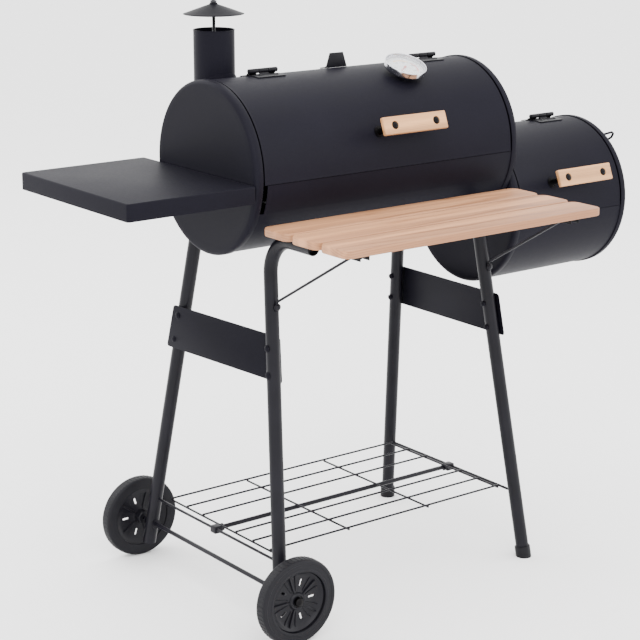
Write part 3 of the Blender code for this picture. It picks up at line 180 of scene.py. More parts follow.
class Finish:
    """One procedural material on a Principled shader."""

    def __init__(self, name, **constants):
        self.material = bpy.data.materials.new(name)
        self.material.use_nodes = True
        self.tree = self.material.node_tree
        self.shader = self.tree.nodes["Principled BSDF"]
        for socket, value in constants.items():
            self.shader.inputs[socket.replace("_", " ")].default_value = value
        coordinates = self.tree.nodes.new("ShaderNodeTexCoord")
        self.place = Socket(self, coordinates.outputs["Object"])

    def node(self, kind, settings=None, inputs=None, output=0):
        """Add a node, set its settings, feed its sockets and return one of its outputs."""
        made = self.tree.nodes.new("ShaderNode" + kind)
        for name, value in (settings or {}).items():
            if name == "stops":
                self.set_stops(made.color_ramp, value)
            else:
                setattr(made, name, value)
        for key, value in (inputs or {}).items():
            self.feed(made.inputs[key], value)
        return Socket(self, made.outputs[output])

    @staticmethod
    def set_stops(ramp, stops):
        while len(ramp.elements) < len(stops):
            ramp.elements.new(1.0)
        for element, (position, colour) in zip(ramp.elements, stops):
            element.position = position
            element.color = (*colour, 1.0)

    def feed(self, socket, value):
        if isinstance(value, Socket):
            self.tree.links.new(value.output, socket)
        elif hasattr(value, "__len__") and len(value) == 3 and socket.type == "RGBA":
            socket.default_value = (*value, 1.0)
        else:
            socket.default_value = value

    def blend(self, factor, first, second):
        """Mix two colours."""
        return self.node("Mix", {"data_type": "RGBA"}, {0: factor, 6: first, 7: second}, 2)

    def noise(self, scale, detail=3.0, place=None, roughness=0.5):
        return self.node("TexNoise", None, {"Vector": place or self.place, "Scale": scale,
                                            "Detail": detail, "Roughness": roughness})

    def stretched(self, scale, offset=(0, 0, 0), turn=(0, 0, 0)):
        """Object coordinates with their own scale along each axis."""
        return self.node("Mapping", None, {"Vector": self.place, "Scale": scale, "Location": offset,
                                           "Rotation": turn})

    def steps(self, factor, low, high):
        """A factor stretched from low..high to 0..1."""
        return self.node("MapRange", {"clamp": True}, {"Value": factor, 1: low, 2: high, 3: 0.0, 4: 1.0})

    def bump(self, height, distance, strength=1.0, under=None):
        inputs = {"Height": height, "Distance": distance, "Strength": strength}
        if under:
            inputs["Normal"] = under
        return self.node("Bump", None, inputs)

    def surface(self, **links):
        for name, value in links.items():
            self.feed(self.shader.inputs[name.replace("_", " ")], value)
        return self.material


def shade(colour, factor):
    """A colour made lighter or darker."""
    return tuple(channel * factor for channel in colour)


def enamel_finish(name, colour, roughness=0.50, peel=1.0):
    """Satin heat-proof paint on sheet: orange peel, faint clouds, dust specks."""
    finish = Finish(name, Metallic=0.0, Specular_IOR_Level=0.05)
    clouds = finish.noise(7.0, 4.0)
    fine = finish.noise(160.0, 4.0)
    specks = finish.steps(finish.noise(900.0, 2.0), 0.66, 0.74)
    tint = finish.blend(finish.steps(clouds, 0.32, 0.70), shade(colour, 0.88), shade(colour, 1.13))
    tint = finish.blend(finish.steps(fine, 0.3, 0.8) * 0.22, tint, shade(colour, 1.5))
    tint = finish.blend(specks * 0.10, tint, (0.10, 0.10, 0.10))
    rough = clouds * 0.12 + fine * 0.10 + (roughness - 0.11)
    orange_peel = finish.noise(420.0, 2.0)
    grit = finish.noise(1900.0, 1.0)
    coarse = finish.bump(orange_peel, 0.00022 * peel, 0.5)
    normal = finish.bump(grit, 0.00006 * peel, 0.5, coarse)
    return finish.surface(Base_Color=tint, Roughness=rough, Normal=normal)


def steel_finish(name, colour, roughness=0.40):
    """Black powder-coated steel tube and wire."""
    finish = Finish(name, Metallic=0.0, Specular_IOR_Level=0.12)
    clouds = finish.noise(22.0, 3.0)
    grain = finish.noise(700.0, 2.0)
    tint = finish.blend(finish.steps(clouds, 0.3, 0.72), shade(colour, 0.8), shade(colour, 1.25))
    rough = clouds * 0.14 + grain * 0.08 + (roughness - 0.10)
    return finish.surface(Base_Color=tint, Roughness=rough, Normal=finish.bump(grain, 0.00012, 0.5))


def wood_finish(name, light, dark, seed, ring=0.0042):
    """Planed softwood with growth rings along X, fibres, pores and a few small knots."""
    finish = Finish(name, Metallic=0.0, IOR=1.45)
    drift = finish.noise(1.0, 3.0, finish.stretched((1.7, 9.0, 9.0), (seed, seed * 2.3, 0.4 * seed)))
    tilt = finish.stretched((0.05, 1.0, 1.0), (0.0, 0.021 * seed + 0.06, 0.055), (0.5, 0.03, 0.05))
    distance = finish.node("VectorMath", {"operation": "LENGTH"}, {0: tilt}, "Value")
    rings = finish.node("Math", {"operation": "SINE"}, {0: (distance + drift * 0.020) * (2 * pi / ring)})
    late = finish.steps(rings, 0.05, 0.98) ** 1.7
    fibres = finish.noise(1.0, 5.0, finish.stretched((14.0, 850.0, 850.0)), 0.62)
    pores = finish.steps(finish.noise(1.0, 2.0, finish.stretched((60.0, 2600.0, 2600.0))), 0.60, 0.72)
    bands = finish.noise(1.0, 2.0, finish.stretched((0.9, 34.0, 34.0), (seed * 3.1, 0, 0)))
    deep = finish.noise(1.0, 2.0, finish.stretched((0.6, 19.0, 19.0), (seed * 5.3, 1, 0)))
    tint = finish.blend(late * 0.75, light, dark)
    tint = finish.blend(finish.steps(bands, 0.46, 0.66) * 0.75, tint, shade(light, 1.75))
    tint = finish.blend(finish.steps(deep, 0.50, 0.68) * 0.60, tint, shade(dark, 1.15))
    tint = finish.blend(finish.steps(fibres, 0.42, 0.70) * 0.30, tint, shade(dark, 0.86))
    tint = finish.blend(pores * 0.20, tint, shade(dark, 0.55))
    knots = finish.node("TexVoronoi", {"feature": "F1"},
                        {"Vector": finish.stretched((4.2, 21.0, 21.0), (seed * 1.9, seed, 0)), "Scale": 1.0},
                        "Distance")
    knot = 1.0 - finish.steps(knots, 0.02, 0.10)
    tint = finish.blend(knot * 0.55, tint, shade(dark, 0.45))
    rough = late * -0.10 + fibres * 0.20 + 0.48
    height = fibres * 0.6 + late * 0.5 - pores * 0.8
    return finish.surface(Base_Color=tint, Roughness=rough, Normal=finish.bump(height, 0.00016, 0.6))


def plastic_finish(name, colour, roughness=0.50):
    """Moulded black plastic with a fine spark-eroded texture."""
    finish = Finish(name, Metallic=0.0, Specular_IOR_Level=0.14)
    clouds = finish.noise(30.0, 3.0)
    texture = finish.noise(1500.0, 2.0)
    scuffs = finish.steps(finish.noise(90.0, 5.0, None, 0.7), 0.56, 0.74)
    tint = finish.blend(clouds, shade(colour, 0.85), shade(colour, 1.2))
    tint = finish.blend(scuffs * 0.25, tint, shade(colour, 2.2))
    rough = texture * 0.12 + scuffs * 0.12 + (roughness - 0.10)
    return finish.surface(Base_Color=tint, Roughness=rough, Normal=finish.bump(texture, 0.00012, 0.5))


def plated_finish(name, colour, roughness=0.22, brush=(60.0, 900.0, 900.0)):
    """Plated steel with fine drawing marks and a little tarnish."""
    finish = Finish(name, Metallic=1.0)
    marks = finish.noise(1.0, 3.0, finish.stretched(brush))
    tarnish = finish.steps(finish.noise(45.0, 4.0), 0.52, 0.75)
    tint = finish.blend(tarnish * 0.35, colour, shade(colour, 0.55))
    rough = marks * 0.14 + tarnish * 0.20 + (roughness - 0.07)
    return finish.surface(Base_Color=tint, Roughness=rough, Normal=finish.bump(marks, 0.00004, 0.4))


def dial_finish(name, colour):
    """Printed card, slightly mottled."""
    finish = Finish(name, Metallic=0.0)
    mottle = finish.noise(300.0, 3.0)
    tint = finish.blend(mottle * 0.3, colour, shade(colour, 0.86))
    return finish.surface(Base_Color=tint, Roughness=mottle * 0.1 + 0.45)


def glass_finish(name, colour):
    """Thin clear lens with faint smears."""
    finish = Finish(name, Metallic=0.0, IOR=1.5)
    smears = finish.noise(60.0, 3.0)
    tint = finish.blend(smears * 0.2, colour, shade(colour, 0.9))
    return finish.surface(Base_Color=tint, Roughness=smears * 0.08 + 0.02, Alpha=smears * 0.04 + 0.10)


def floor_finish(name, colour):
    """Pale seamless floor."""
    finish = Finish(name, Metallic=0.0)
    clouds = finish.noise(3.0, 2.0)
    tint = finish.blend(clouds, shade(colour, 0.985), colour)
    return finish.surface(Base_Color=tint, Roughness=clouds * 0.1 + 0.75)


def finishes(name):
    """The material called name, made the first time it is asked for."""
    found = bpy.data.materials.get(name)
    if found:
        return found
    colours = bpy.context.scene.smoker_colours
    paint = tuple(colours.enamel)
    steel = tuple(colours.steel)
    fir_light = tuple(colours.fir_light)
    fir_dark = tuple(colours.fir_dark)
    handle_light = tuple(colours.handle_light)
    handle_dark = tuple(colours.handle_dark)
    plastic = tuple(colours.plastic)
    zinc = tuple(colours.zinc)
    makers = {
        "drum_enamel": lambda: enamel_finish(name, paint),
        "shelf_enamel": lambda: enamel_finish(name, shade(paint, 0.95), 0.56),
        "plate_enamel": lambda: enamel_finish(name, shade(paint, 0.85), 0.44),
        "stack_enamel": lambda: enamel_finish(name, shade(paint, 1.00), 0.44),
        "cap_enamel": lambda: enamel_finish(name, shade(paint, 0.62), 0.46),
        "tube_steel": lambda: steel_finish(name, steel, 0.36),
        "wire_steel": lambda: steel_finish(name, shade(steel, 1.1), 0.34),
        "fitting_steel": lambda: steel_finish(name, shade(steel, 0.8), 0.44),
        "bolt_black": lambda: plated_finish(name, (0.009, 0.0085, 0.009), 0.42),
        "fir_back": lambda: wood_finish(name, fir_light, fir_dark, 1.0),
        "fir_middle": lambda: wood_finish(name, shade(fir_light, 1.02), fir_dark, 2.0),
        "fir_front": lambda: wood_finish(name, fir_light, fir_dark, 3.0),
        "barrel_grip_wood": lambda: wood_finish(name, handle_light, handle_dark, 4.0, 0.0026),
        "firebox_grip_wood": lambda: wood_finish(name, handle_light, handle_dark, 5.0, 0.0026),
        "tyre_plastic": lambda: plastic_finish(name, plastic, 0.56),
        "core_plastic": lambda: plastic_finish(name, shade(plastic, 1.1), 0.40),
        "foot_plastic": lambda: plastic_finish(name, shade(plastic, 0.8), 0.5),
        "rod_zinc": lambda: plated_finish(name, shade(zinc, 0.5), 0.34),
        "gauge_plating": lambda: plated_finish(name, shade(zinc, 6.5), 0.16, (300.0, 300.0, 300.0)),
        "grate_plating": lambda: plated_finish(name, shade(zinc, 0.25), 0.46),
        "dial_card": lambda: dial_finish(name, (0.55, 0.55, 0.56)),
        "dial_ink": lambda: dial_finish(name, (0.02, 0.02, 0.02)),
        "dial_amber": lambda: dial_finish(name, (0.75, 0.35, 0.03)),
        "dial_red": lambda: dial_finish(name, (0.55, 0.03, 0.02)),
        "needle_red": lambda: enamel_finish(name, (0.50, 0.03, 0.02), 0.35, 0.1),
        "lens_glass": lambda: glass_finish(name, (0.92, 0.94, 0.95)),
        "pale_floor": lambda: floor_finish(name, tuple(colours.floor)),
    }
    return makers[name]()


# ---------------------------------------------------------------- mesh helpers

def fresh(bm, count):
    """The vertices added since there were count of them."""
    bm.verts.ensure_lookup_table()
    return list(bm.verts)[count:]


def faces_of(verts):
    return list({face for vert in verts for face in vert.link_faces})


def edges_of(verts):
    return list({edge for vert in verts for edge in vert.link_edges})


def bevel(bm, edges, offset, segments=2):
    bmesh.ops.bevel(bm, geom=edges, offset=offset, segments=segments, affect="EDGES", profile=0.5,
                    material=-1, clamp_overlap=True)


def pointing(origin, axis):
    """A matrix that puts local Z along an axis through a point."""
    return Matrix.Translation(origin) @ Vector(axis).to_track_quat("Z", "Y").to_matrix().to_4x4()


def axes_at(origin, along, across, out):
    """A matrix that puts its three local axes along three unit vectors, at an origin."""
    return Matrix.Translation(origin) @ Matrix((along, across, out)).transposed().to_4x4()


def add_block(bm, low, high, round_off=0.0, matrix=None, segments=2):
    """A box between two corners with rounded edges."""
    low = Vector(low)
    high = Vector(high)
    size = Matrix.Diagonal((*(high - low), 1.0))
    place = (matrix or Matrix.Identity(4)) @ Matrix.Translation((low + high) / 2) @ size
    verts = bmesh.ops.create_cube(bm, size=1.0, matrix=place)["verts"]
    if round_off:
        bevel(bm, edges_of(verts), round_off, segments)


def add_rod(bm, start, end, radius, sides=24, round_off=0.0):
    """A solid round bar between two points, with rounded ends."""
    start = Vector(start)
    end = Vector(end)
    axis = end - start
    verts = bmesh.ops.create_cone(bm, cap_ends=True, segments=sides, radius1=radius, radius2=radius,
                                  depth=axis.length, matrix=pointing((start + end) / 2, axis))["verts"]
    if round_off:
        rims = [edge for edge in edges_of(verts)
                if any(len(face.verts) == sides for face in edge.link_faces)]
        bevel(bm, rims, round_off, 3)


def add_turned(bm, profile, origin, axis, sides=48, closed=False):
    """Spin a profile of (radius, height) about an axis through the origin point."""
    count = len(bm.verts)
    place = pointing(origin, axis)
    verts = [bm.verts.new(place @ Vector((radius, 0, height))) for radius, height in profile]
    pairs = list(zip(verts, verts[1:]))
    if closed:
        pairs.append((verts[-1], verts[0]))
    edges = [bm.edges.new(pair) for pair in pairs]
    bmesh.ops.spin(bm, geom=verts + edges, cent=origin, axis=axis, angle=2 * pi, steps=sides, use_merge=True,
                   use_duplicate=False)
    bmesh.ops.remove_doubles(bm, verts=fresh(bm, count), dist=MERGE)
    made = fresh(bm, count)
    bmesh.ops.recalc_face_normals(bm, faces=faces_of(made))
    return made


def arc(centre, radius, start, end, count=6):
    """Points of an arc in a profile, angles in degrees."""
    turns = [radians(start + (end - start) * step / count) for step in range(count + 1)]
    return [(centre[0] + radius * cos(turn), centre[1] + radius * sin(turn)) for turn in turns]


def add_rolled(bm, outline, drum, start, end, flare=0.0, flare_turn=4.0):
    """Roll a closed outline of (x, radius) round a drum; flare lifts the last degrees outwards."""
    count = len(bm.verts)
    verts = [bm.verts.new(drum.point(x, start, radius)) for x, radius in outline]
    edges = [bm.edges.new(pair) for pair in zip(verts, verts[1:] + verts[:1])]
    steps = max(3, round(ROUND * (end - start) / 360))
    spun = bmesh.ops.spin(bm, geom=verts + edges, cent=(0, drum.y, drum.z), axis=X,
                          angle=radians(end - start), steps=steps, use_merge=False, use_duplicate=False)
    last = [item for item in spun["geom_last"] if isinstance(item, bmesh.types.BMEdge)]
    bmesh.ops.edgeloop_fill(bm, edges=edges)
    bmesh.ops.edgeloop_fill(bm, edges=last)
    made = fresh(bm, count)
    bmesh.ops.recalc_face_normals(bm, faces=faces_of(made))
    for vert in made if flare else ():
        turn = degrees(atan2(vert.co.z - drum.z, vert.co.y - drum.y)) % 360
        share = max(0.0, (turn - end + flare_turn) / flare_turn)
        vert.co += drum.outward(turn) * flare * share ** 2
    return made


def sheet_outline(low, high, radius, wall, lip=0.0, lip_length=0.005):
    """The (x, radius) outline of a sheet with its two ends raised by a lip."""
    shoulder = lip_length * 0.4
    outer = [(low, radius + lip), (low + shoulder, radius + lip * 0.7), (low + lip_length, radius),
             (high - lip_length, radius), (high - shoulder, radius + lip * 0.7), (high, radius + lip)]
    return outer + [(x, level - wall) for x, level in reversed(outer)]


def add_sweep(bm, points, radius, sides=16, hollow=0.0, closed=False):
    """Extrude a round section along points; hollow sinks a bore into both ends."""
    points = [Vector(point) for point in points]
    count = len(points)
    tangents = []
    for index in range(count):
        before = points[index - 1] if index or closed else points[index]
        after = points[(index + 1) % count] if index < count - 1 or closed else points[index]
        tangents.append((after - before).normalized())
    turn = tangents[0].to_track_quat("Z", "Y").to_matrix()
    ring = bmesh.ops.create_circle(bm, cap_ends=False, segments=sides, radius=radius,
                                   matrix=Matrix.Translation(points[0]) @ turn.to_4x4())["verts"]
    loop = edges_of(ring)
    first = loop
    started = len(bm.verts) - sides
    stops = list(range(1, count)) + ([0] if closed else [])
    previous = points[0]
    facing = tangents[0]
    for index in stops:
        grown = bmesh.ops.extrude_edge_only(bm, edges=loop)["geom"]
        ring = [item for item in grown if isinstance(item, bmesh.types.BMVert)]
        loop = [item for item in grown if isinstance(item, bmesh.types.BMEdge)
                and all(vert in ring for vert in item.verts)]
        bend = facing.rotation_difference(tangents[index]).to_matrix().to_4x4()
        move = Matrix.Translation(points[index]) @ bend @ Matrix.Translation(-previous)
        bmesh.ops.transform(bm, matrix=move, verts=ring)
        previous = points[index]
        facing = tangents[index]
    if closed:
        bmesh.ops.remove_doubles(bm, verts=fresh(bm, started), dist=radius * 0.2)
    else:
        for edges, inward in ((first, tangents[0]), (loop, -tangents[-1])):
            cap = bmesh.ops.edgeloop_fill(bm, edges=edges)["faces"]
            if hollow:
                bmesh.ops.inset_region(bm, faces=cap, thickness=radius * 0.12, use_even_offset=True)
                sunk = bmesh.ops.extrude_face_region(bm, geom=cap)["geom"]
                bmesh.ops.delete(bm, geom=cap, context="FACES_ONLY")
                deep = [item for item in sunk if isinstance(item, bmesh.types.BMVert)]
                bmesh.ops.translate(bm, vec=inward * hollow, verts=deep)
    bmesh.ops.recalc_face_normals(bm, faces=faces_of(fresh(bm, started)))


def eased(points, radius, count=6, closed=False):
    """The points with each inner corner replaced by an arc; closed also rounds the first and last."""
    points = [Vector(point) for point in points]
    around = [points[-1], *points, points[0]] if closed else points
    made = [] if closed else [points[0]]
    for before, corner, after in zip(around, around[1:], around[2:]):
        back = (before - corner).normalized()
        ahead = (after - corner).normalized()
        half = back.angle(ahead) / 2
        setback = radius / tan(half)
        centre = corner + (back + ahead).normalized() * (radius / sin(half))
        start = corner + back * setback - centre
        end = corner + ahead * setback - centre
        made += [centre + start.slerp(end, step / count).normalized() * radius for step in range(count + 1)]
    return made if closed else made + [points[-1]]


def add_bolt(bm, at, outward, radius, height, sides=20, washer=0.0):
    """A pan head with a small recess, on a washer if it has a radius."""
    base = 0.0
    if washer:
        base = height * 0.3
        add_turned(bm, [(0, 0), (washer, 0), (washer, base * 0.8), (washer * 0.95, base), (0, base)], at,
                   outward, sides)
    rise = height - base
    dome = [(radius * cos(radians(turn)), base + rise * sin(radians(turn))) for turn in (15, 32, 50, 66, 80)]
    recess = [(radius * 0.14, base + rise * 0.6), (0, base + rise * 0.55)]
    add_turned(bm, [(0, base), (radius, base), *dome, *recess], at, outward, sides)


def add_nut(bm, at, outward, radius, height, shank=0.0):
    """A hexagon nut with chamfered corners; the bolt's shank stands out of it if it has a radius."""
    place = pointing(Vector(at) + Vector(outward) * height / 2, outward)
    verts = bmesh.ops.create_cone(bm, cap_ends=True, segments=6, radius1=radius, radius2=radius,
                                  depth=height, matrix=place)["verts"]
    bevel(bm, edges_of(verts), radius * 0.10, 2)
    if shank:
        start = Vector(at) - Vector(outward) * 0.0002
        end = Vector(at) + Vector(outward) * (height + 0.0016)
        add_rod(bm, start, end, shank, 16, shank * 0.2)


def carve(bm, cutter):
    """Cut one bmesh with another and return the result; both are used up."""
    made = []
    for name, source in (("carved", bm), ("cutter", cutter)):
        mesh = bpy.data.meshes.new(name)
        source.to_mesh(mesh)
        source.free()
        obj = bpy.data.objects.new(name, mesh)
        bpy.context.scene.collection.objects.link(obj)
        made.append(obj)
    body, tool = made
    boolean = body.modifiers.new("carve", "BOOLEAN")
    boolean.operation = "DIFFERENCE"
    boolean.object = tool
    graph = bpy.context.evaluated_depsgraph_get()
    mesh = bpy.data.meshes.new_from_object(body.evaluated_get(graph))
    result = bmesh.new()
    result.from_mesh(mesh)
    bpy.data.meshes.remove(mesh)
    for obj in made:
        data = obj.data
        bpy.data.objects.remove(obj)
        bpy.data.meshes.remove(data)
    return result


def cad_copy(node):
    """A bmesh of a CAD node, merged, with its flat faces whole."""
    bm = bmesh.new()
    bm.from_mesh(frame["nodes"][node].data)
    bmesh.ops.remove_doubles(bm, verts=bm.verts, dist=0.00002)
    bmesh.ops.dissolve_limit(bm, angle_limit=radians(1.0), verts=bm.verts, edges=bm.edges)
    return bm


def piece(name, bm, finish, like, stands_for=()):
    """Finish a mesh as a visible piece that rides on the body of the CAD node like."""
    mesh = bpy.data.meshes.new(name)
    bm.to_mesh(mesh)
    bm.free()
    mesh.shade_smooth()
    mesh.set_sharp_from_angle(angle=SMOOTH_UNDER)
    obj = bpy.data.objects.new(name, mesh)
    bpy.context.scene.collection.objects.link(obj)
    mesh.materials.append(finishes(finish))
    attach(obj, BODY_OF[like])
    if stands_for:
        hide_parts(*stands_for)


# ---------------------------------------------------------------- settings

class SmokerSizes(bpy.types.PropertyGroup):
    """Sizes of details that the frame leaves open."""

    sheet: FloatProperty(name="Sheet", description="Thickness of the drums' rolled sheet", default=0.0012,
                         unit="LENGTH")
    lip: FloatProperty(name="Lid lip", description="How far the lid's edges are raised", default=0.0009,
                       unit="LENGTH")
    lid_gap: FloatProperty(name="Lid gap", description="Gap between each lid's end and the cap beside it",
                           default=0.0022, unit="LENGTH")
    notch: FloatProperty(name="Notch", description="Width of the gap beside the lid's front corners",
                         default=0.0105, unit="LENGTH")
    wood_edge: FloatProperty(name="Wood edge", description="Rounding of the wooden pieces' edges",
                             default=0.0022, unit="LENGTH")
    bolt: FloatProperty(name="Bolt head", description="Radius of the stand's bolt heads", default=0.0050,
                        unit="LENGTH")
    rivet: FloatProperty(name="Rivet", description="Radius of the hinges' screw heads", default=0.0034,
                         unit="LENGTH")
    wire: FloatProperty(name="Rack wire", description="Radius of the lower rack's wires", default=0.0019,
                        unit="LENGTH")
    grate_wire: FloatProperty(name="Grate wire", description="Radius of the grates' wires", default=0.0017,
                              unit="LENGTH")
    grate_pitch: FloatProperty(name="Grate pitch", description="Distance between the grates' wires",
                               default=0.0125, unit="LENGTH")
    spokes: IntProperty(name="Spokes", description="Spokes of each wheel", default=5, min=3, max=12)
    ribs: IntProperty(name="Tread ribs", description="Ribs across each tyre", default=60, min=0, max=120)


class SmokerColours(bpy.types.PropertyGroup):
    """Base colours of the finishes, linear."""

    enamel: FloatVectorProperty(name="Enamel", description="Paint of the drums", subtype="COLOR",
                                default=(0.0052, 0.0048, 0.0082), min=0, max=1)
    steel: FloatVectorProperty(name="Steel", description="Coating of tubes and wires", subtype="COLOR",
                               default=(0.0052, 0.0049, 0.0072), min=0, max=1)
    fir_light: FloatVectorProperty(name="Fir, light", description="Early wood of the slats", subtype="COLOR",
                                   default=(0.34, 0.165, 0.080), min=0, max=1)
    fir_dark: FloatVectorProperty(name="Fir, dark", description="Late wood of the slats", subtype="COLOR",
                                  default=(0.205, 0.080, 0.030), min=0, max=1)
    handle_light: FloatVectorProperty(name="Handle, light", description="Early wood of the handles",
                                      subtype="COLOR", default=(0.39, 0.20, 0.085), min=0, max=1)
    handle_dark: FloatVectorProperty(name="Handle, dark", description="Late wood of the handles",
                                     subtype="COLOR", default=(0.26, 0.11, 0.038), min=0, max=1)
    plastic: FloatVectorProperty(name="Plastic", description="Wheels and feet", subtype="COLOR",
                                 default=(0.0046, 0.0044, 0.0062), min=0, max=1)
    zinc: FloatVectorProperty(name="Zinc", description="Plated hardware", subtype="COLOR",
                              default=(0.085, 0.085, 0.090), min=0, max=1)
    floor: FloatVectorProperty(name="Floor", description="Studio floor", subtype="COLOR",
                               default=(0.93, 0.93, 0.93), min=0, max=1)


# ---------------------------------------------------------------- drums and lids

NOTCH_TURN = 20.0           # degrees that the gap beside the barrel's left cap reaches below the lid
FRONT_STRIP_TURN = 9.0      # degrees of the firebox shell's front strip
PASSAGE_RADIUS = 0.050      # smoke passage between the drums
CUT_REACH = 0.03            # how far a cutter reaches past a disc
HOLE_UNDER = 0.0004         # how much tighter the chimney's hole is than the chimney
VENTS = 3
VENT_START = 30.0
VENT_TURN = 40.0            # from the cap's vents to the damper's
VENT_CIRCLE = 0.068
VENT_RADIUS = 0.020


def add_vents(bm, drum, x, start):
    """Round air vents through a disc across the drum's axis."""
    for index in range(VENTS):
        at = drum.point(x, start + index * 360 / VENTS, VENT_CIRCLE)
        add_rod(bm, at - X * CUT_REACH, at + X * CUT_REACH, VENT_RADIUS, 40)


def cap_mesh(drum, x, facing, wall):
    """A drawn end cap; its disc is at x and faces along X."""
    outer = drum.cap_radius
    corner = outer - drum.cap_round
    dish = 0.0009
    profile = [(0, -dish), (corner * 0.86, -dish), (corner * 0.93, -dish * 0.4)]
    profile += arc((corner, -drum.cap_round), drum.cap_round, 90, 0, 8)
    profile += [(outer, -drum.skirt + 0.0008), (outer - 0.0004, -drum.skirt)]
    profile += [(outer - wall, -drum.skirt)]
    profile += arc((corner, -drum.cap_round), drum.cap_round - wall, 0, 90, 5)
    profile += [(corner * 0.86, -dish - wall), (0, -dish - wall)]
    bm = bmesh.new()
    add_turned(bm, profile, (x, drum.y, drum.z), X * facing, ROUND)
    return bm


class SMOKER_OT_drums(bpy.types.Operator):
    """Roll the fixed shells of both drums and draw their end caps"""

    bl_idname = "smoker.drums"
    bl_label = "Drums"

    def execute(self, context):
        sizes = context.scene.smoker_sizes
        for drum in (BARREL, FIREBOX):
            start = drum.front + drum.gap
            end = 360 + drum.crown - drum.gap
            low = drum.x_low + drum.cap_round
            high = drum.x_high - drum.cap_round
            notched = drum is BARREL
            step = start + (NOTCH_TURN if notched else FRONT_STRIP_TURN)
            front_low = drum.x_low + drum.skirt + sizes.notch if notched else low
            bm = bmesh.new()
            add_rolled(bm, sheet_outline(front_low, high, drum.radius, sizes.sheet), drum, start, step)
            add_rolled(bm, sheet_outline(low, high, drum.radius, sizes.sheet), drum, step, end)
            if drum is BARREL:
                stack_low, stack_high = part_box("chimney_stack")
                stack = (stack_low + stack_high) / 2
                hole = bmesh.new()
                add_rod(hole, (stack.x, stack.y, drum.z), (stack.x, stack.y, drum.z + drum.radius * 1.2),
                        (stack_high.x - stack_low.x) / 2 - HOLE_UNDER, 64)
                bm = carve(bm, hole)
            node = drum.prefix + "_body"
            piece(drum.prefix + "_shell", bm, "drum_enamel", node, [node])
        passage_z = self.passage_height()
        for node, drum, x, facing in (("barrel_cap_left", BARREL, BARREL.x_low, -1),
                                      ("barrel_cap_right", BARREL, BARREL.x_high, 1),
                                      ("firebox_cap_left", FIREBOX, FIREBOX.x_low, -1),
                                      ("firebox_cap_right", FIREBOX, FIREBOX.x_high, 1)):
            bm = cap_mesh(drum, x, facing, sizes.sheet)
            cutter = bmesh.new()
            if node in ("barrel_cap_right", "firebox_cap_left"):
                add_rod(cutter, (x - CUT_REACH, BARREL.y, passage_z), (x + CUT_REACH, BARREL.y, passage_z),
                        PASSAGE_RADIUS, 48)
            elif node == "firebox_cap_right":
                add_vents(cutter, drum, x, VENT_START)
            if len(cutter.verts):
                bm = carve(bm, cutter)
            else:
                cutter.free()
            piece(node + "_pressing", bm, "drum_enamel", node, [node])
        return {"FINISHED"}

    @staticmethod
    def passage_height():
        """Height of the smoke passage, from its opening in the record."""
        openings = {opening["name"]: opening["box_m"] for opening in frame["record"]["physics"]["openings"]}
        low, high = openings["smoke_passage"]
        return (low[2] + high[2]) / 2


class SMOKER_OT_lids(bpy.types.Operator):
    """Roll both lids with raised edges"""

    bl_idname = "smoker.lids"
    bl_label = "Lids"

    def execute(self, context):
        sizes = context.scene.smoker_sizes
        for drum in (BARREL, FIREBOX):
            bm = bmesh.new()
            outline = sheet_outline(drum.lid_low + sizes.lid_gap, drum.lid_high - sizes.lid_gap, drum.radius,
                                    sizes.sheet, sizes.lip)
            add_rolled(bm, outline, drum, drum.crown, drum.front, flare=sizes.lip * 1.3, flare_turn=5.0)
            node = drum.prefix + "_lid"
            piece(node + "_sheet", bm, "drum_enamel", node, [node])
        return {"FINISHED"}


# ---------------------------------------------------------------- hinges and lid stop

LEAF_WALL = 0.0015
LEAF_LIFT = 0.0004          # from the drum's sheet to a leaf's underside
LEAF_NEAR = 0.0052          # from the pin to a leaf's near edge, round the drum
LEAF_FAR = 0.0295
LEAF_CORNER = 0.004
KNUCKLE_RADIUS = 0.0042
KNUCKLE_GAP = 0.0004
PIN_RADIUS = 0.0022
PIN_PROUD = 0.0015          # how far the pin's ends stand out of the knuckles


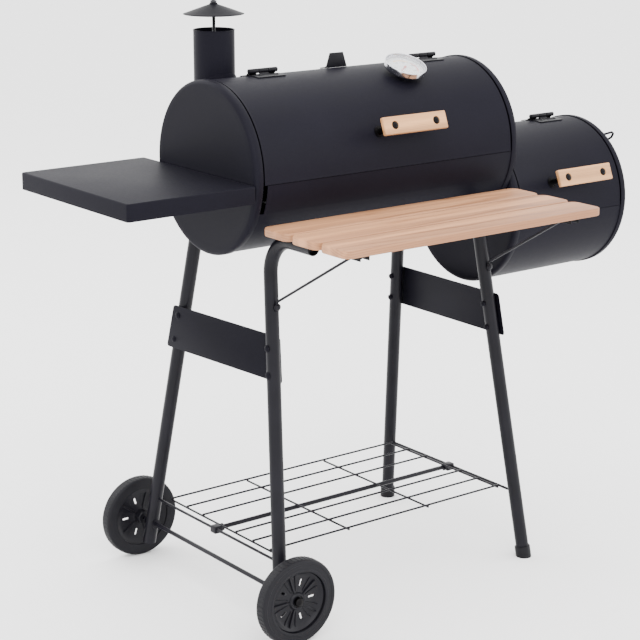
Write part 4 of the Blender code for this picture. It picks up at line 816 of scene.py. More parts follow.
def leaf_mesh(drum, node, pin, moving, sizes):
    """One leaf of a three-knuckle hinge, rolled to the drum, with its screws."""
    low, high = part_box(node)
    centre = (low.x + high.x) / 2
    half = (high.x - low.x) / 2 - (0.0 if moving else PIN_PROUD)
    knuckle = 2 * half / 3
    base = drum.radius + LEAF_LIFT
    sign = 1 if moving else -1
    pin_turn = degrees(atan2(pin.z - drum.z, pin.y - drum.y))
    near = pin_turn + sign * degrees(LEAF_NEAR / drum.radius)
    far = pin_turn + sign * degrees(LEAF_FAR / drum.radius)
    bm = bmesh.new()
    outline = [(centre - half, base + LEAF_WALL), (centre + half, base + LEAF_WALL), (centre + half, base),
               (centre - half, base)]
    add_rolled(bm, outline, drum, *sorted((near, far)))
    corners = [edge for edge in bm.edges if abs(edge.calc_length() - LEAF_WALL) < LEAF_WALL * 0.13]
    bevel(bm, corners, LEAF_CORNER, 4)
    root = drum.point(0, near + sign * degrees(0.002 / drum.radius), base + LEAF_WALL / 2)
    top = Vector((0, pin.y, pin.z)) - drum.outward(pin_turn) * LEAF_WALL
    tilt = root - top
    web = axes_at(top, X, tilt.normalized(), X.cross(tilt).normalized())
    for slot in (0,) if moving else (-1, 1):
        x_low = centre + (slot - 0.5) * knuckle + KNUCKLE_GAP
        x_high = x_low + knuckle - 2 * KNUCKLE_GAP
        add_rod(bm, (x_low, pin.y, pin.z), (x_high, pin.y, pin.z), KNUCKLE_RADIUS, round_off=0.0005)
        add_block(bm, (x_low, 0, -LEAF_WALL / 2), (x_high, tilt.length, LEAF_WALL / 2), 0.0003, web)
    if not moving:
        reach = half + PIN_PROUD - TOUCH
        add_rod(bm, (centre - reach, pin.y, pin.z), (centre + reach, pin.y, pin.z), PIN_RADIUS, 16, 0.0006)
    for side in (-1, 1):
        turn = (near + far) / 2
        at = drum.point(centre + side * half * 0.58, turn, base + LEAF_WALL)
        add_bolt(bm, at, drum.outward(turn), sizes.rivet, height=0.0018)
    return bm


class SMOKER_OT_hinges(bpy.types.Operator):
    """Model both pairs of hinges and the sheet tab that stops the lid"""

    bl_idname = "smoker.hinges"
    bl_label = "Hinges"

    def execute(self, context):
        sizes = context.scene.smoker_sizes
        for drum, joint in ((BARREL, "barrel_lid_hinge"), (FIREBOX, "firebox_lid_hinge")):
            pin = Vector(JOINT[joint]["pos_m"])
            for side in ("left", "right"):
                for kind, moving in (("fixed", False), ("lid", True)):
                    node = f"{drum.prefix}_hinge_{side}_{kind}_leaf"
                    bm = leaf_mesh(drum, node, pin, moving, sizes)
                    piece(f"{drum.prefix}_hinge_{side}_{kind}", bm, "fitting_steel", node, [node])
        bm = cad_copy("lid_stop")
        bevel(bm, [edge for edge in bm.edges if edge.calc_face_angle(0) > radians(25)], 0.0007)
        low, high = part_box("lid_stop")
        under = BARREL.radius + LEAF_LIFT
        upper = under + 0.0020
        foot_turn = degrees(atan2(low.z - BARREL.z, high.y - BARREL.y))
        foot_width = degrees(0.016 / BARREL.radius)
        outline = [(low.x, upper), (high.x, upper), (high.x, under), (low.x, under)]
        add_rolled(bm, outline, BARREL, foot_turn - foot_width, foot_turn)
        for side in (-1, 1):
            turn = foot_turn - foot_width / 2
            at = BARREL.point((low.x + high.x) / 2 + side * 0.014, turn, upper)
            add_bolt(bm, at, BARREL.outward(turn), sizes.rivet, height=0.0020)
        piece("lid_stop_tab", bm, "fitting_steel", "lid_stop", ["lid_stop"])
        return {"FINISHED"}


# ---------------------------------------------------------------- handles

PIT_DEPTH = 0.0016          # how deep the bolt heads sit in the wood


class SMOKER_OT_handles(bpy.types.Operator):
    """Shape the wooden lid handles with their bolts and spacers"""

    bl_idname = "smoker.handles"
    bl_label = "Handles"

    def execute(self, context):
        sizes = context.scene.smoker_sizes
        for drum in (BARREL, FIREBOX):
            node = drum.prefix + "_handle"
            centre = middle(node)
            out = Vector((0, centre.y - drum.y, centre.z - drum.z)).normalized()
            up = X.cross(out) * (1 if X.cross(out).z > 0 else -1)
            lengths = [high - low for low, high in (span(node, axis) for axis in (X, up, out))]
            half = Vector(lengths) / 2
            studs = {}
            for side in ("left", "right"):
                stud = f"{node}_stud_{side}"
                studs[stud] = centre + X * (middle(stud).x - centre.x)
            bm = bmesh.new()
            add_block(bm, -half, half, sizes.wood_edge, axes_at(centre, X, up, out), 4)
            pits = bmesh.new()
            for at in studs.values():
                add_turned(pits, [(0, -PIT_DEPTH), (0.0071, -PIT_DEPTH), (0.0077, 0.001), (0, 0.001)],
                           at + out * half.z, out, 32)
            bm = carve(bm, pits)
            piece(node + "_grip", bm, drum.prefix + "_grip_wood", node, [node])
            for stud, at in studs.items():
                foot = Vector((at.x, drum.y, drum.z)) + out * (drum.radius + TOUCH)
                length = (at - foot).length - half.z - TOUCH
                bm = bmesh.new()
                add_bolt(bm, at + out * (half.z - PIT_DEPTH), out, radius=0.0060, height=0.0034, sides=28,
                         washer=0.0069)
                add_turned(bm, [(0, 0), (0.0105, 0), (0.0105, 0.0011), (0.0066, 0.0015), (0.0060, 0.0030),
                                (0.0060, length - 0.0016), (0.0085, length - 0.0012), (0.0085, length),
                                (0, length)], foot, out, 28)
                add_nut(bm, foot - out * (sizes.sheet + 2 * TOUCH), -out, radius=0.0062, height=0.0048,
                        shank=0.0029)
                piece(stud + "_bolt", bm, "bolt_black", stud, [stud])
        return {"FINISHED"}


# ---------------------------------------------------------------- thermometer

def add_number(bm, value, place, size=0.0052):
    """Raised figures of a plain number, centred on a place."""
    text = bpy.data.curves.new("number", "FONT")
    text.body = str(value)
    text.size = size
    text.align_x = "CENTER"
    text.align_y = "CENTER"
    text.extrude = 0.00005
    label = bpy.data.objects.new("number", text)
    bpy.context.scene.collection.objects.link(label)
    graph = bpy.context.evaluated_depsgraph_get()
    mesh = bpy.data.meshes.new_from_object(label.evaluated_get(graph))
    mesh.transform(place)
    count = len(bm.verts)
    bm.from_mesh(mesh)
    bmesh.ops.remove_doubles(bm, verts=fresh(bm, count), dist=MERGE)
    bpy.data.objects.remove(label)
    bpy.data.meshes.remove(mesh)
    bpy.data.curves.remove(text)


class SMOKER_OT_thermometer(bpy.types.Operator):
    """Turn the thermometer's case and lens, print its dial and cut its needle"""

    bl_idname = "smoker.thermometer"
    bl_label = "Thermometer"

    def execute(self, context):
        axis = -Vector(JOINT["gauge_needle_turn"]["axis"])
        at = Vector(JOINT["gauge_needle_turn"]["pos_m"])
        seat = at - axis * (at.dot(axis) - BARREL.radius - Vector((0, BARREL.y, BARREL.z)).dot(axis))
        zero = seat.dot(axis)

        def height(node, end):
            return span(node, axis)[end] - zero

        tail = height("thermometer_case", 0)
        top = height("thermometer_case", 1)
        ledge = height("thermometer_lens", 0)
        floor = height("thermometer_dial", 0)
        x_low, x_high = span("thermometer_case", X)
        radius = (x_high - x_low) / 2
        bowl = radius - 0.0032
        mouth = radius - 0.0016
        skirt = radius - 0.0007
        collar = 0.008
        stem = 0.0030
        profile = [(0, floor - 0.0004), (bowl, floor - 0.0004), (bowl, ledge - 0.0002),
                   (mouth, ledge - 0.0002), (mouth, top - 0.0008)]
        profile += arc((radius - 0.0008, top - 0.0008), 0.0008, 180, 0, 6)
        profile += [(radius, top - 0.004), (skirt, top - 0.0046), (skirt, collar + 0.004)]
        profile += arc((radius - 0.0047, collar + 0.004), 0.004, 0, -90, 5)
        profile += [(0.0125, collar), (0.0115, collar - 0.0008), (0.0075, collar - 0.0012), (0.0075, TOUCH),
                    (stem, TOUCH), (stem, tail + 0.002), (stem - 0.0008, tail), (0, tail)]
        bm = bmesh.new()
        add_turned(bm, profile, seat, axis, 72)
        add_nut(bm, seat + axis * 0.0004, axis, radius=0.0112, height=0.0052)
        add_nut(bm, seat - axis * 0.0018, -axis, radius=0.0100, height=0.0046)
        piece("thermometer_bezel", bm, "gauge_plating", "thermometer_case", ["thermometer_case"])

        bm = bmesh.new()
        disc = bowl - TOUCH
        print_level = floor + 0.0009
        add_turned(bm, [(0, print_level), (disc, print_level), (disc, floor), (0, floor)], seat, axis, 64)
        piece("thermometer_card", bm, "dial_card", "thermometer_dial", ["thermometer_dial"])
        self.print_scale(seat + axis * print_level, axis, disc)

        bm = bmesh.new()
        glass = radius - 0.0020
        add_turned(bm, [(0, ledge), (glass, ledge), (glass, ledge + 0.0009), (glass * 0.7, ledge + 0.0014),
                        (0, ledge + 0.0017)], seat, axis, 64)
        piece("thermometer_window", bm, "lens_glass", "thermometer_lens", ["thermometer_lens"])

        hub = seat + axis * (height("thermometer_needle", 0) + height("thermometer_needle", 1)) / 2
        self.cut_needle(at, hub, axis)
        return {"FINISHED"}

    @staticmethod
    def cut_needle(at, hub, axis):
        """A tapered blade with a short tail and a domed hub, pointing as the CAD needle does."""
        corners = [vert.co for vert in frame["nodes"]["thermometer_needle"].data.vertices]
        tip = max(corners, key=lambda corner: (corner - at).length)
        reach = (tip - at).length
        along = (tip - axis * (tip - at).dot(axis) - at).normalized()
        side = axis.cross(along)
        place = axes_at(hub, along, side, axis)
        bm = bmesh.new()
        add_block(bm, (-0.006, -0.0009, -0.0003), (0.004, 0.0009, 0.0003), 0.0001, place)
        size = Matrix.Diagonal((reach - 0.002, 0.0018, 0.0005, 1))
        blade = place @ Matrix.Translation((reach / 2, 0, 0)) @ size
        for vert in bmesh.ops.create_cube(bm, size=1.0, matrix=blade)["verts"]:
            if (vert.co - hub).dot(along) > reach / 2:
                vert.co -= side * (vert.co - hub).dot(side) * 0.7
        add_turned(bm, [(0, 0.0012), (0.0016, 0.0011), (0.0024, 0.0006), (0.0024, -0.0006), (0, -0.0006)],
                   hub, axis, 24)
        piece("thermometer_pointer", bm, "needle_red", "thermometer_needle", ["thermometer_needle"])

    @staticmethod
    def print_scale(at, axis, disc):
        """Raised ink on the dial: ticks, coloured bands and plain numbers."""
        first = 225.0
        sweep = 270.0
        ticks = 25
        ticks_per_number = 5
        step_turn = sweep / ticks
        up = (Z - axis * Z.dot(axis)).normalized()
        if up.y < 0:
            up = -up
        flat = axes_at(at, up.cross(axis), up, axis)

        def turned_to(turn):
            return flat @ Matrix.Rotation(radians(turn), 4, "Z")

        ink = bmesh.new()
        outer = disc * 0.93
        for tick in range(ticks + 1):
            long = tick % ticks_per_number == 0
            length = 0.0042 if long else 0.0024
            half = 0.00035 if long else 0.0002
            turn = turned_to(first - tick * step_turn)
            add_block(ink, (outer - length, -half, 0.00002), (outer, half, 0.00014), 0.0, turn)
        reach = disc * 0.66
        half = reach * radians(step_turn) * 0.46
        for name, start, end in (("dial_amber", 10, 17), ("dial_red", 18, 25)):
            band = bmesh.new()
            for tick in range(start, end):
                turn = turned_to(first - (tick + 0.5) * step_turn)
                add_block(band, (reach, -half, 0.00002), (reach + 0.0022, half, 0.00010), 0.0, turn)
            piece("thermometer_" + name, band, name, "thermometer_dial")
        circle = disc * 0.54
        for number in range(ticks // ticks_per_number + 1):
            turn = radians(first - number * step_turn * ticks_per_number)
            spot = Matrix.Translation((cos(turn) * circle, sin(turn) * circle, 0.00008))
            add_number(ink, number * 50, flat @ spot)
        piece("thermometer_scale", ink, "dial_ink", "thermometer_dial")


# ---------------------------------------------------------------- chimney

def drape(verts, drum):
    """Lift vertices from heights above zero to heights above the drum's shell."""
    for vert in verts:
        vert.co.z += drum.over(vert.co.y)


class SMOKER_OT_chimney(bpy.types.Operator):
    """Build the chimney's stack, collar, rain cap, rod and nut"""

    bl_idname = "smoker.chimney"
    bl_label = "Chimney"

    def execute(self, context):
        sizes = context.scene.smoker_sizes
        low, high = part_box("chimney_stack")
        foot = Vector(((low.x + high.x) / 2, (low.y + high.y) / 2, 0))
        radius = (high.x - low.x) / 2
        inner = radius - sizes.sheet
        top = high.z
        bm = bmesh.new()
        start = BARREL.over(high.y) - 0.006
        add_turned(bm, [(radius, start), (radius, top - 0.0016)]
                   + arc((radius - 0.0006, top - 0.0012), 0.0012, 0, 180, 6)
                   + [(inner, top - 0.0030), (inner, start)], foot, Z, 72, closed=True)
        cutter = bmesh.new()
        add_rod(cutter, (BARREL.x_low, BARREL.y, BARREL.z), (foot.x + 0.1, BARREL.y, BARREL.z),
                BARREL.radius - 0.006, ROUND)
        bm = carve(bm, cutter)
        seam = foot + Vector((0, radius, 0))
        add_block(bm, (seam.x - 0.0030, seam.y - 0.0004, BARREL.over(seam.y) + 0.004),
                  (seam.x + 0.0030, seam.y + 0.0004, top - 0.004), 0.0003)
        piece("chimney_stack_tube", bm, "stack_enamel", "chimney_stack", ["chimney_stack"])

        bm = bmesh.new()
        skirt = radius + 0.0006
        flange = radius + 0.013
        made = add_turned(bm, [(skirt, 0.0004), (flange, 0.0004), (flange, 0.0014), (skirt + 0.0042, 0.0018),
                               (skirt + 0.0020, 0.0032), (skirt + 0.0014, 0.0115), (skirt + 0.0004, 0.0120),
                               (skirt, 0.0118)], foot, Z, 72, closed=True)
        drape(made, BARREL)
        for quarter in range(4):
            angle = radians(45 + 90 * quarter)
            spot = foot + Vector((cos(angle), sin(angle), 0)) * (radius + 0.0086)
            normal = Vector((0, spot.y - BARREL.y, BARREL.over(spot.y) - BARREL.z)).normalized()
            spot.z = BARREL.over(spot.y)
            add_bolt(bm, spot + normal * 0.0012, normal, radius=0.0032, height=0.0020)
        piece("chimney_collar", bm, "stack_enamel", "chimney_stack")

        low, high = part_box("rain_cap")
        reach = (high.x - low.x) / 2
        rise = high.z - low.z
        wall = 0.0010
        rod = 0.0030
        bore = rod + 0.0002
        crown = rod + 0.0035
        ridge = [(reach * (1 - share), low.z + rise * share ** 0.94)
                 for share in (0.12, 0.3, 0.5, 0.7, 0.86)]
        outer = [(reach - 0.0006, low.z + wall)] + [(r, z + wall * 0.2) for r, z in ridge]
        outer += [(crown, high.z), (bore, high.z)]
        under = [(bore, high.z - wall), (crown, high.z - wall)]
        under += [(r - 0.001, z - wall * 0.9) for r, z in reversed(ridge)]
        under += [(reach - 0.0012, low.z), (reach, low.z + 0.0006)]
        bm = bmesh.new()
        add_turned(bm, outer + under, foot, Z, 72, closed=True)
        piece("rain_cap_cone", bm, "cap_enamel", "rain_cap", ["rain_cap"])

        nut_low, nut_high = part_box("rain_cap_nut")
        nut_radius = (nut_high.x - nut_low.x) / 2 * 1.05
        bm = bmesh.new()
        add_nut(bm, foot + Z * nut_low.z, Z, nut_radius, nut_high.z - nut_low.z)
        add_nut(bm, foot + Z * (high.z - wall - TOUCH), -Z, nut_radius, 0.0036)
        piece("rain_cap_nuts", bm, "rod_zinc", "rain_cap_nut", ["rain_cap_nut"])

        rod_low, rod_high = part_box("rain_cap_rod")
        half = inner - 0.0015
        strap_half = 0.006
        strap_wall = 0.002
        tab_wall = 0.0018
        tab_drop = 0.012
        tab_proud = 0.0007
        bm = bmesh.new()
        self.add_thread(bm, foot, rod_low.z + 0.001, rod_high.z, rod)
        strap_low = foot + Vector((-half, -strap_half, rod_low.z))
        strap_high = foot + Vector((half, strap_half, rod_low.z + strap_wall))
        add_block(bm, strap_low, strap_high, 0.0004)
        for x in (strap_low.x - tab_proud, strap_high.x + tab_proud - tab_wall):
            add_block(bm, (x, strap_low.y, strap_low.z - tab_drop),
                      (x + tab_wall, strap_high.y, strap_high.z), 0.0004)
        add_nut(bm, foot + Z * strap_high.z, Z, radius=0.0052, height=0.0036)
        piece("rain_cap_spindle", bm, "rod_zinc", "rain_cap_rod", ["rain_cap_rod"])
        return {"FINISHED"}

    @staticmethod
    def add_thread(bm, foot, low, high, radius):
        """A rod with a fine thread as rings of a profile."""
        pitch = 0.0010
        depth = 0.00028
        profile = [(0, low), (radius - depth, low)]
        turns = int((high - low - 0.002) / pitch)
        for turn in range(turns):
            base = low + turn * pitch
            profile += [(radius - depth, base + pitch * 0.15), (radius, base + pitch * 0.5)]
        profile += [(radius - depth, high - 0.0012), (radius - depth * 2.5, high), (0, high)]
        add_turned(bm, profile, foot, Z, 20)


# ---------------------------------------------------------------- air damper

class SMOKER_OT_damper(bpy.types.Operator):
    """Cut the turning air damper and bend its wire handle"""

    bl_idname = "smoker.damper"
    bl_label = "Air damper"

    def execute(self, context):
        low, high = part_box("air_damper")
        x = low.x
        drum = FIREBOX
        radius = (high.y - low.y) / 2
        wall = 0.0014
        bm = bmesh.new()
        add_turned(bm, [(0.0043, 0.0), (radius, 0.0), (radius, wall * 0.6), (radius - 0.0006, wall),
                        (0.030, wall), (0.0285, wall + 0.0006), (0.0262, wall), (0.0043, wall)],
                   (x, drum.y, drum.z), X, ROUND, closed=True)
        cutter = bmesh.new()
        add_vents(cutter, drum, x, VENT_START + VENT_TURN)
        bm = carve(bm, cutter)
        face = x + wall
        loop_turn = 112.0
        outline = ((0.112, 0.0008), (0.118, 0.010), (0.1235, 0.0555), (0.1195, 0.0614), (0.1115, 0.0596),
                   (0.0845, 0.008), (0.0835, 0.0008))
        points = [drum.point(face + out, loop_turn, reach) for reach, out in outline]
        add_sweep(bm, eased(points, 0.0022, 4), 0.0023, 14)
        for foot in (outline[0], outline[-1]):
            at = drum.point(face, loop_turn, foot[0])
            add_block(bm, (-0.0055, -0.005, 0.0), (0.0055, 0.005, 0.0012), 0.0004, pointing(at, X))
        piece("air_damper_disc", bm, "cap_enamel", "air_damper", ["air_damper"])

        bm = bmesh.new()
        profile = [(0, -0.0045), (0.0040, -0.0045), (0.0040, TOUCH), (0.0078, TOUCH), (0.0078, 0.0012),
                   (0.0066, 0.0026), (0.0040, 0.0034), (0, 0.0036)]
        add_turned(bm, profile, (face, drum.y, drum.z), X, 32)
        piece("damper_pivot_rivet", bm, "bolt_black", "firebox_cap_right")
        return {"FINISHED"}


# ---------------------------------------------------------------- shelves

class SMOKER_OT_side_shelf(bpy.types.Operator):
    """Fold the sheet side shelf and fix its brackets"""

    bl_idname = "smoker.side_shelf"
    bl_label = "Side shelf"

    def execute(self, context):
        sizes = context.scene.smoker_sizes
        low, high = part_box("side_shelf")
        bm = bmesh.new()
        add_block(bm, low, high)
        under = [face for face in bm.faces if face.normal.z < -0.9]
        bmesh.ops.delete(bm, geom=under, context="FACES_ONLY")
        upright = [edge for edge in bm.edges if abs((edge.verts[0].co - edge.verts[1].co).z) > 0.01]
        bevel(bm, upright, 0.0050, 5)
        rims = [edge for edge in bm.edges if all(vert.co.z > high.z - 0.0005 for vert in edge.verts)
                and len(edge.link_faces) == 2 and edge.calc_face_angle(0) > 0.5]
        bevel(bm, rims, 0.0026, 4)
        bmesh.ops.recalc_face_normals(bm, faces=bm.faces)
        top = max(bm.faces, key=lambda face: face.calc_area())
        if top.normal.z < 0:
            bmesh.ops.reverse_faces(bm, faces=bm.faces)
        bmesh.ops.solidify(bm, geom=bm.faces[:], thickness=sizes.sheet)
        piece("side_shelf_tray", bm, "shelf_enamel", "side_shelf", ["side_shelf"])

        inner = high.x
        drop = high.z - sizes.sheet - 0.0004
        depth = 0.024
        near_cap = inner - 0.0016
        far_end = inner - 0.150
        bm = bmesh.new()
        for side in (-1, 1):
            y = BARREL.y + side * 0.095
            web = y - 0.0008, y + 0.0008
            flange = y - 0.0008, y + 0.012
            for x_low, (y_low, y_high), height in ((far_end, web, depth), (far_end, flange, 0.0014),
                                                   (near_cap - 0.0014, flange, depth)):
                add_block(bm, (x_low, y_low, drop - height), (near_cap, y_high, drop), 0.0003)
            for reach in (0.040, 0.120):
                add_bolt(bm, (inner - reach, y + 0.007, drop - 0.0014), -Z, radius=0.0042, height=0.0028,
                         washer=0.0052)
        piece("side_shelf_brackets", bm, "fitting_steel", "side_shelf")
        return {"FINISHED"}


class SMOKER_OT_slats(bpy.types.Operator):
    """Plane the three wooden slats and lay them on their cleats"""

    bl_idname = "smoker.slats"
    bl_label = "Wooden shelf"

    def execute(self, context):
        sizes = context.scene.smoker_sizes
        for place in ("back", "middle", "front"):
            node = "slat_" + place
            low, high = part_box(node)
            bm = bmesh.new()
            add_block(bm, low, high)
            upright = [edge for edge in bm.edges if abs((edge.verts[0].co - edge.verts[1].co).z) > 0.005]
            bevel(bm, upright, 0.016, 8)
            rims = [edge for edge in bm.edges if edge.calc_face_angle(0) > 1.2]
            bevel(bm, rims, sizes.wood_edge, 4)
            piece(node + "_board", bm, "fir_" + place, node, [node])
        flange = 0.0016
        flange_drop = 0.008
        for end in ("left", "right"):
            node = "shelf_cleat_" + end
            low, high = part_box(node)
            bm = bmesh.new()
            add_block(bm, low, high, 0.0005)
            for x in (low.x, high.x - flange):
                add_block(bm, (x, low.y, low.z - flange_drop),
                          (x + flange, high.y, low.z + 2 * TOUCH), 0.0004)
            for place in ("back", "middle", "front"):
                slat = middle("slat_" + place)
                for side in (-1, 1):
                    at = ((low.x + high.x) / 2, slat.y + side * 0.020, low.z)
                    add_bolt(bm, at, -Z, radius=0.0040, height=0.0026, washer=0.005)
            piece(f"shelf_cleat_{end}_channel", bm, "fitting_steel", node, [node])
            self.make_brace("shelf_brace_" + end, sizes)
        return {"FINISHED"}

    @staticmethod
    def make_brace(node, sizes):
        """A bent wire brace with its bolt on the leg."""
        low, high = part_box(node)
        wire = 0.0023
        leg = node.replace("shelf_brace", "leg_front")
        line = leg_line(leg)
        bend = at_height(line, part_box(leg)[1].z - LEG_RADIUS)
        in_front = Y * -(LEG_RADIUS + wire + TOUCH)
        shank_low = at_height(line, low.z) + in_front
        knee = at_height(line, low.z + 0.016) + in_front
        tail = Vector((bend.x, low.y, high.z - wire))
        head = tail + Y * 0.018
        bm = bmesh.new()
        add_sweep(bm, eased([shank_low, knee, head, tail], 0.006, 5), wire, 14)
        add_bolt(bm, (shank_low + knee) / 2 - Y * wire, -Y, sizes.bolt, height=0.0036, sides=24,
                 washer=0.0066)
        add_bolt(bm, tail + Vector((0, 0.006, -wire)), -Z, radius=0.0044, height=0.0028, washer=0.0054)
        piece(node + "_wire", bm, "wire_steel", node, [node])


# ---------------------------------------------------------------- stand

def leg_line(node):
    """Two points of a leg's centre line."""
    return section(node, 2, 0.20), section(node, 2, 0.40)


def leg_tip(node):
    """The end of a front leg's level part."""
    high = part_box(node)[1]
    reach = min(vert.co.y for vert in frame["nodes"][node].data.vertices if vert.co.z > high.z - LEG_RADIUS)
    corner = at_height(leg_line(node), high.z - LEG_RADIUS)
    return Vector((corner.x, reach, corner.z))


def at_height(line, z):
    low, high = line
    return low.lerp(high, (z - low.z) / (high.z - low.z))


BEND_RADIUS = 0.055         # of the front legs' centre lines
SADDLE_GAP = 0.0002         # between a rear leg's cut end and the barrel
PLATE_WALL = 0.0018


class SMOKER_OT_legs(bpy.types.Operator):
    """Bend the tube legs, plug their feet and bolt on the sheet braces"""

    bl_idname = "smoker.legs"
    bl_label = "Legs"

    def execute(self, context):
        sizes = context.scene.smoker_sizes
        for end in ("left", "right"):
            for place in ("front", "rear"):
                node = f"leg_{place}_{end}"
                line = leg_line(node)
                bottom = at_height(line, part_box(node)[0].z + 0.002)
                bm = bmesh.new()
                if place == "front":
                    tip = leg_tip(node)
                    corner = at_height(line, tip.z)
                    route = eased([bottom, corner, tip], BEND_RADIUS, 14)
                    add_sweep(bm, route, LEG_RADIUS, 28, hollow=0.010)
                else:
                    add_sweep(bm, [bottom, at_height(line, BARREL.z)], LEG_RADIUS, 28)
                    cutter = bmesh.new()
                    add_rod(cutter, (BARREL.x_low, BARREL.y, BARREL.z), (BARREL.x_high, BARREL.y, BARREL.z),
                            BARREL.radius + SADDLE_GAP, 128)
                    bm = carve(bm, cutter)
                piece(node + "_tube", bm, "tube_steel", node, [node])
            self.make_plate(end, sizes)
            self.make_spacer(end)
        for place in ("front", "rear"):
            node = "foot_cap_" + place
            line = leg_line(f"leg_{place}_right")
            bottom = at_height(line, 0.0)
            up = (line[1] - line[0]).normalized()
            bm = bmesh.new()
            cup = [(0, -0.02), (0.0150, -0.02), (0.0150, 0.0195), (0.0146, 0.0215), (0.0136, 0.0222),
                   (0.0127, 0.0222), (0.0127, 0.0060), (0, 0.0060)]
            add_turned(bm, cup, bottom, up, 40)
            bmesh.ops.bisect_plane(bm, geom=bm.verts[:] + bm.edges[:] + bm.faces[:], plane_co=(0, 0, 0),
                                   plane_no=-Z, clear_outer=True)
            bmesh.ops.edgeloop_fill(bm, edges=[edge for edge in bm.edges if edge.is_boundary])
            bmesh.ops.recalc_face_normals(bm, faces=bm.faces)
            piece(node + "_cup", bm, "foot_plastic", node, [node])
        return {"FINISHED"}

    @staticmethod
    def make_plate(end, sizes):
        """A sheet brace across two legs with rounded corners, its bolts and their nuts."""
        node = "leg_plate_" + end
        bm = cad_copy(node)
        out = X * (1 if end == "right" else -1)
        low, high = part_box(node)
        outer = max(bm.faces, key=lambda face: face.normal.dot(out) * face.calc_area())
        normal = outer.normal.copy()
        upright = [edge for edge in bm.edges
                   if abs((edge.verts[0].co - edge.verts[1].co).normalized().dot(normal)) > 0.9]
        bevel(bm, upright, 0.006, 5)
        rims = [edge for edge in bm.edges if edge.calc_face_angle(0) > 1.2]
        bevel(bm, rims, 0.0004, 2)
        for place in ("front", "rear"):
            line = leg_line(f"leg_{place}_{end}")
            inside = end == "left" and place == "front"
            for share in (0.22, 0.78):
                centre = at_height(line, low.z + (high.z - low.z) * share)
                seat = centre + out * (LEG_RADIUS + (0.0 if inside else PLATE_WALL))
                add_bolt(bm, seat, out, sizes.bolt, height=0.0038, sides=24, washer=0.0068)
                if not inside:
                    add_nut(bm, centre - out * LEG_RADIUS, -out, radius=0.0056, height=0.0042, shank=0.0028)
        piece(node + "_sheet", bm, "plate_enamel", node, [node])

    @staticmethod
    def make_spacer(end):
        """The spacer between a bent leg and the barrel, with its foot plate."""
        node = f"leg_front_{end}"
        corner = at_height(leg_line(node), leg_tip(node).z)
        start = Vector((corner.x, corner.y - 0.004, corner.z + LEG_RADIUS * 0.55))
        away = Vector((0, start.y - BARREL.y, start.z - BARREL.z)).normalized()
        surface = Vector((start.x, BARREL.y, BARREL.z)) + away * (BARREL.radius + TOUCH)
        bm = bmesh.new()
        add_rod(bm, start, surface, 0.0058, round_off=0.0004)
        foot = [(0, 0), (0.0110, 0), (0.0110, 0.0010), (0.0060, 0.0016), (0, 0.0016)]
        add_turned(bm, foot, surface, away, 28)
        piece(f"{node}_spacer", bm, "fitting_steel", node)


# ---------------------------------------------------------------- wheels

CAP_RADIUS = 0.0085
AXLE_BORE = 0.0043
CORE_RADIUS = 0.0562
HUB_RADIUS = 0.0150
TYRE_HALF = 0.0125          # half the tyre's width
TYRE_INNER = 0.0560
SHOULDER = 0.0045           # rounding of the tyre's shoulders


